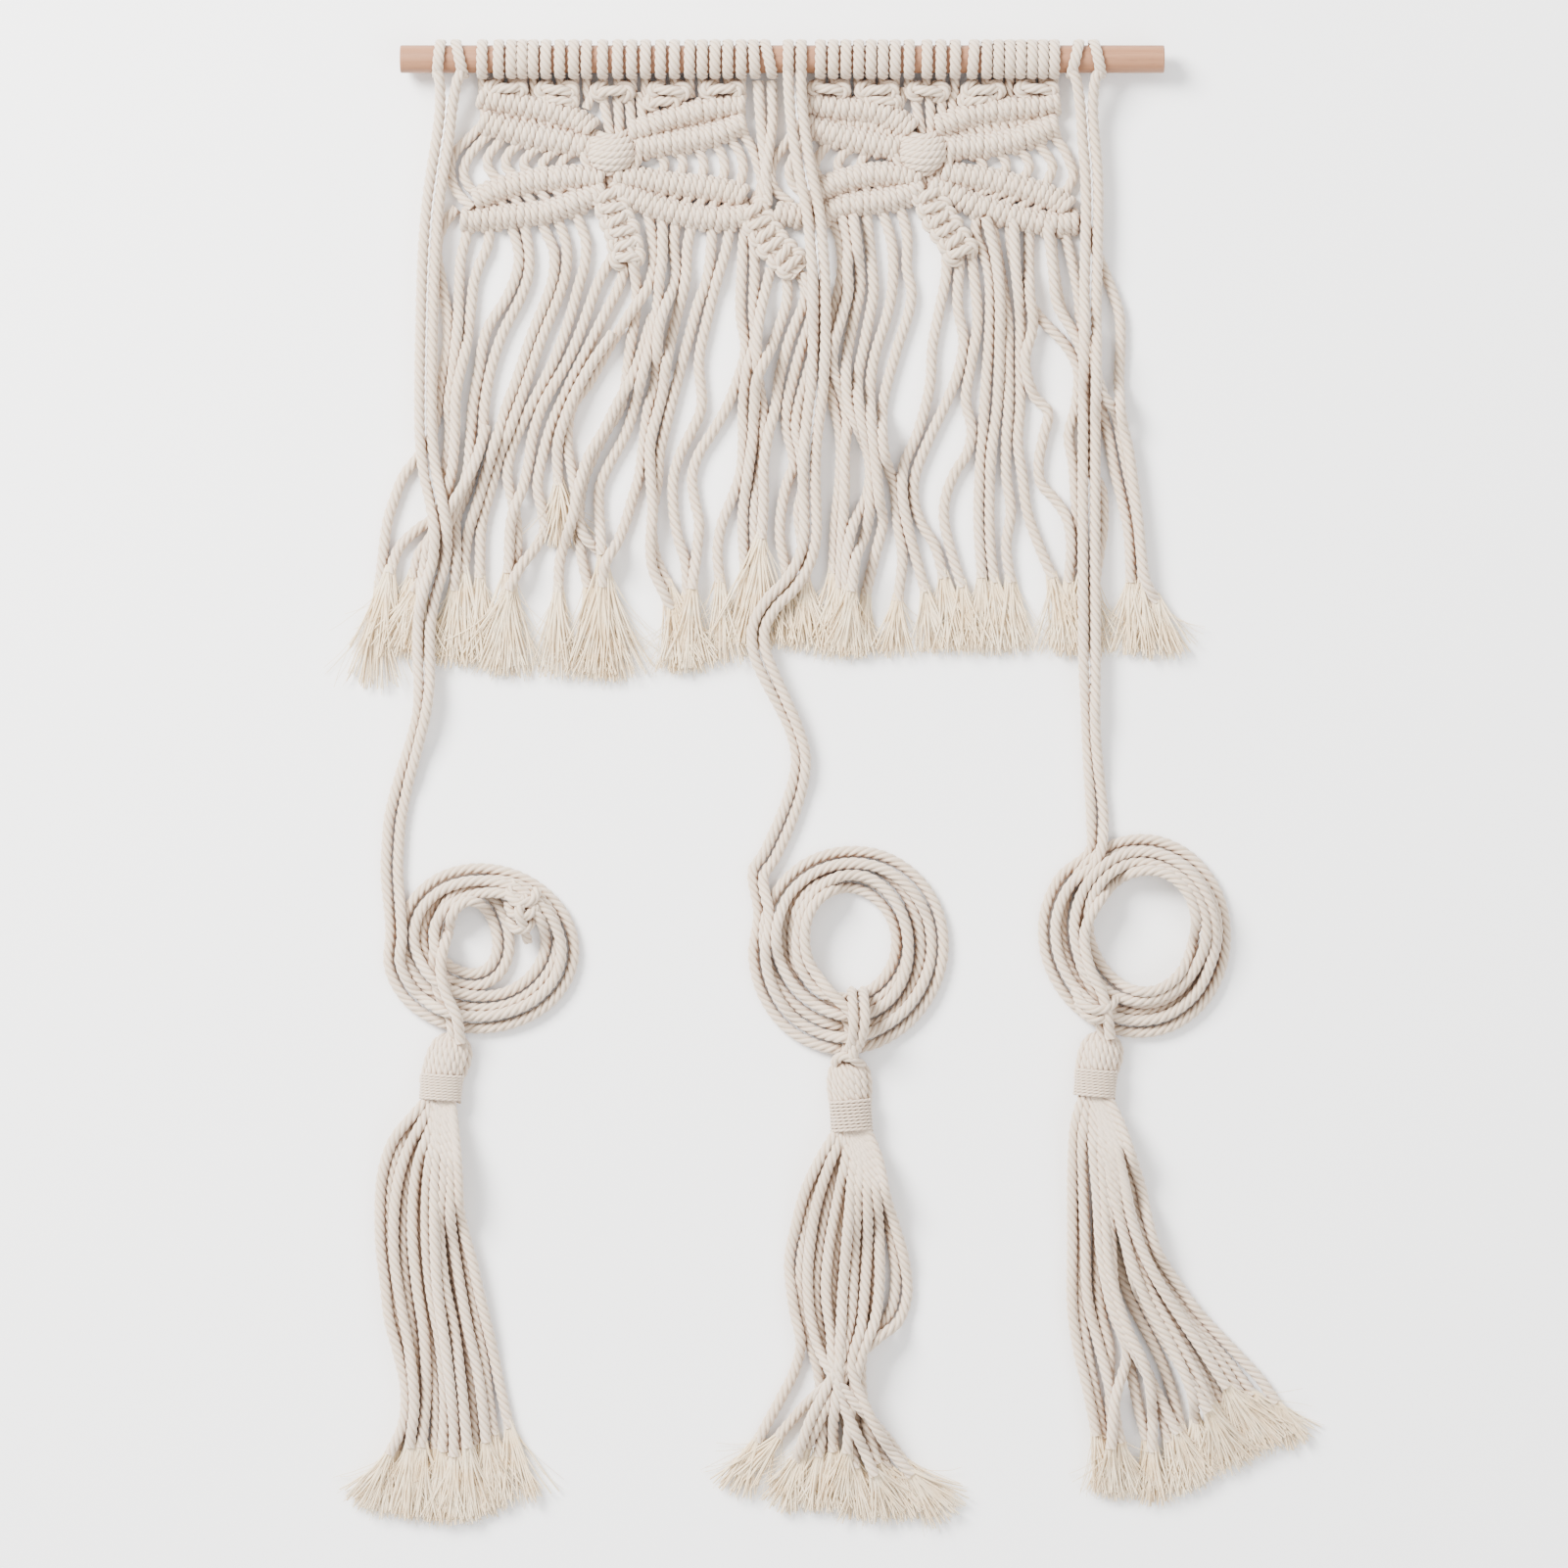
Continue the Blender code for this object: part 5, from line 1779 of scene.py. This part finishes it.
@dataclass
class Tassels:
    """The three tassels, each on a body of its own.

    The arch of a head's cord is given by shares along the head, across it and of its height.
    A skirt's strands start at the heights lift, and stay below tucked where the wrap holds them.
    """

    shop: Workshop
    head_cords: int = 8
    head_half: float = 7.6
    head_foot: float = 2.6
    head_rise: float = 6.6
    lowest: float = 2.4
    arch: Solid = ((-0.30, 0.40, 0.45), (-0.05, 0.85, 0.85), (0.35, 1.02, 1.0), (1.0, 0.96, 0.95),
                   (1.5, 0.86, 0.85))
    wrap_turns: int = 9
    wrap_stops: int = 20
    wrap_half: Point = (8.6, 5.6)
    wrap_middle: float = 6.6
    lift: tuple[float, ...] = (6.0, 5.0, 3.0, 2.5, 2.5, 2.5, 2.5, 2.5)
    tucked: float = 7.5
    tucked_steps: Point = (4, 26)

    def head(self, tassel: Tassel) -> list[Cord]:
        """Folded cords that arch over the top of the tassel.

        Args:
            tassel: The tassel.

        Returns:
            The cords.
        """
        cords = []
        start, end = (np.array(spot) for spot in tassel.head)
        run = (end - start) / np.linalg.norm(end - start)
        side = np.array([-run[1], run[0]])
        for across in np.linspace(-1.0, 1.0, self.head_cords):
            height = self.head_foot + self.head_rise * math.sqrt(max(0.0, 1 - across * across * 0.96))
            points = []
            for share, reach, rise in self.arch:
                place = start + (end - start) * share + side * across * self.head_half * reach
                points.append((place[0], place[1], max(self.lowest, height * rise)))
            cords.append(Cord(smooth_route(points, TIGHT_CORD.step), TIGHT_CORD))
        return cords

    def wrap(self, tassel: Tassel) -> list[Cord]:
        """Thin yarn wound tightly below the head.

        Args:
            tassel: The tassel.

        Returns:
            The yarn, as the only cord of its piece.
        """
        start, end = (np.array(spot) for spot in tassel.wrap)
        run = end - start
        side = np.array([-run[1], run[0]]) / np.linalg.norm(run)
        wide, tall = self.wrap_half
        points = []
        for share in np.linspace(0.0, 1.0, self.wrap_turns * self.wrap_stops):
            angle = FULL_TURN * self.wrap_turns * share
            place = start + run * share + side * wide * math.cos(angle)
            points.append((place[0], place[1], self.wrap_middle + tall * math.sin(angle)))
        return [Cord(smooth_route(points, BINDING_YARN.step), BINDING_YARN)]

    @staticmethod
    def between(one: Strand, two: Strand, phase: int) -> Strand:
        """A strand half way between two others, with a slow wave of its own.

        Args:
            one: The strand on its left.
            two: The strand on its right.
            phase: Start of its wave, in radians.

        Returns:
            The new strand.
        """
        count, reach, waves = 12, 1.8, 5.0
        halves = []
        for strand in (one, two):
            route = smooth_route(strand.route, 1.0)
            halves.append(route[np.linspace(0, len(route) - 1, count).astype(int)])
        middle = sum(halves) / 2
        wave = np.sin(np.linspace(0.0, waves, count) + phase) * reach
        middle[:, 0] += wave * np.linspace(0.2, 1.0, count)
        return Strand(tuple(map(tuple, middle)), (one.frays + two.frays) / 2, one.fan)

    def build(self) -> None:
        """Make the heads, wraps and skirts."""
        for side, tassel in TASSELS.items():
            body = f"{side}_tassel"
            self.shop.place(f"{body}_folds", self.head(tassel), body, (f"{body}_head",))
            self.shop.place(f"{body}_binding", self.wrap(tassel), body, (f"{body}_wrap",),
                            self.shop.binding)
            frays = FrayMaker(seed=len(side) + 40)
            cords = []
            row = sorted(tassel.skirt, key=lambda strand: strand.route[len(strand.route) // 2][0])
            lower = [self.between(one, two, index) for index, (one, two) in enumerate(zip(row, row[1:]))]
            for strand in lower + list(tassel.skirt):
                cord = self.shop.lay(strand.route, least=self.lift)
                ceiling = np.interp(np.arange(len(cord.points)), self.tucked_steps,
                                    (self.tucked, Pile.MOST))
                cord.points[:, 2] = np.minimum(cord.points[:, 2], ceiling)
                cords.append(cord)
                frays.fray(cord.points[-1], heading_of(cord.points), strand.frays, strand.fan)
            self.shop.place(f"{body}_strands", cords, body, (f"{body}_skirt",))
            self.shop.settle(frays.piece(f"{body}_frayed_ends", self.shop.frayed), body)


# ------------------------------------------------------------------------------ dowel and stage

def dress_dowel() -> None:
    """Give the dowel its wood."""
    dowel = bpy.data.objects["dowel"]
    dowel.data.materials.clear()
    dowel.data.materials.append(BeechFinish("beech").build())
    for face in dowel.data.polygons:
        face.use_smooth = len(face.vertices) <= 4


@dataclass
class Studio:
    """Pale surface, soft light from the upper left and a camera straight above."""

    floor_size: float = 8.0
    floor_level: float = -0.0004
    floor_colour: Colour = (0.97, 0.97, 0.97, 1.0)
    view_middle: Point = (0.76, -313.2)
    view_width: float = 679.5
    camera_height: float = 3.0
    sensor: float = 36.0
    room_light: float = 1.38

    def surface(self) -> None:
        """The pale surface under the hanging."""
        shape = bmesh.new()
        bmesh.ops.create_grid(shape, x_segments=1, y_segments=1, size=self.floor_size / 2)
        mesh = bpy.data.meshes.new("surface")
        shape.to_mesh(mesh)
        shape.free()
        material = bpy.data.materials.new("surface")
        material.use_nodes = True
        shader = material.node_tree.nodes["Principled BSDF"]
        shader.inputs["Base Color"].default_value = self.floor_colour
        shader.inputs["Roughness"].default_value = 0.9
        mesh.materials.append(material)
        floor = bpy.data.objects.new("surface", mesh)
        floor.location.z = self.floor_level
        bpy.context.scene.collection.objects.link(floor)

    def light(self, name: str, place: tuple[float, float, float], size: float, power: float,
              colour: tuple[float, float, float]) -> None:
        """One soft square light that looks at the hanging.

        Args:
            name: Name of the light.
            place: Where it stands, in metres.
            size: Length of its sides, in metres.
            power: Its power in watts.
            colour: Its colour.
        """
        lamp = bpy.data.lights.new(name, "AREA")
        lamp.shape = "SQUARE"
        lamp.size = size
        lamp.energy = power
        lamp.color = colour
        holder = bpy.data.objects.new(name, lamp)
        holder.location = place
        holder.rotation_euler = (-Vector(place)).to_track_quat("-Z", "Y").to_euler()
        bpy.context.scene.collection.objects.link(holder)

    def camera(self) -> None:
        """The camera, square to the hanging."""
        data = bpy.data.cameras.new("camera")
        data.sensor_width = self.sensor
        data.lens = self.sensor * self.camera_height / (self.view_width * MM)
        holder = bpy.data.objects.new("camera", data)
        x, y = (np.array(self.view_middle) * MM + PLAN_ORIGIN[:2]).tolist()
        holder.location = (x, y, self.camera_height)
        bpy.context.scene.collection.objects.link(holder)
        bpy.context.scene.camera = holder

    def build(self) -> None:
        """Set up the studio."""
        self.surface()
        self.light("key", (-1.5, 1.3, 1.7), 1.1, 265.0, (1.0, 0.985, 0.965))
        self.light("fill", (1.6, -0.9, 2.2), 2.0, 40.0, (0.98, 0.985, 1.0))
        world = bpy.data.worlds.new("room")
        world.use_nodes = True
        sky = world.node_tree.nodes["Background"]
        sky.inputs["Color"].default_value = (1.0, 1.0, 1.0, 1.0)
        sky.inputs["Strength"].default_value = self.room_light
        bpy.context.scene.world = world
        self.camera()


def main() -> None:
    """Build the looks of the hanging, from the floor up."""
    Studio().build()
    dress_dowel()
    shop = Workshop()
    for part in (Fringe(shop), Cloth(shop), LoopsOnDowel(shop), Drops(shop), Tassels(shop)):
        LOG.info("building %s", type(part).__name__)
        part.build()


if __name__ == "__main__":
    main()
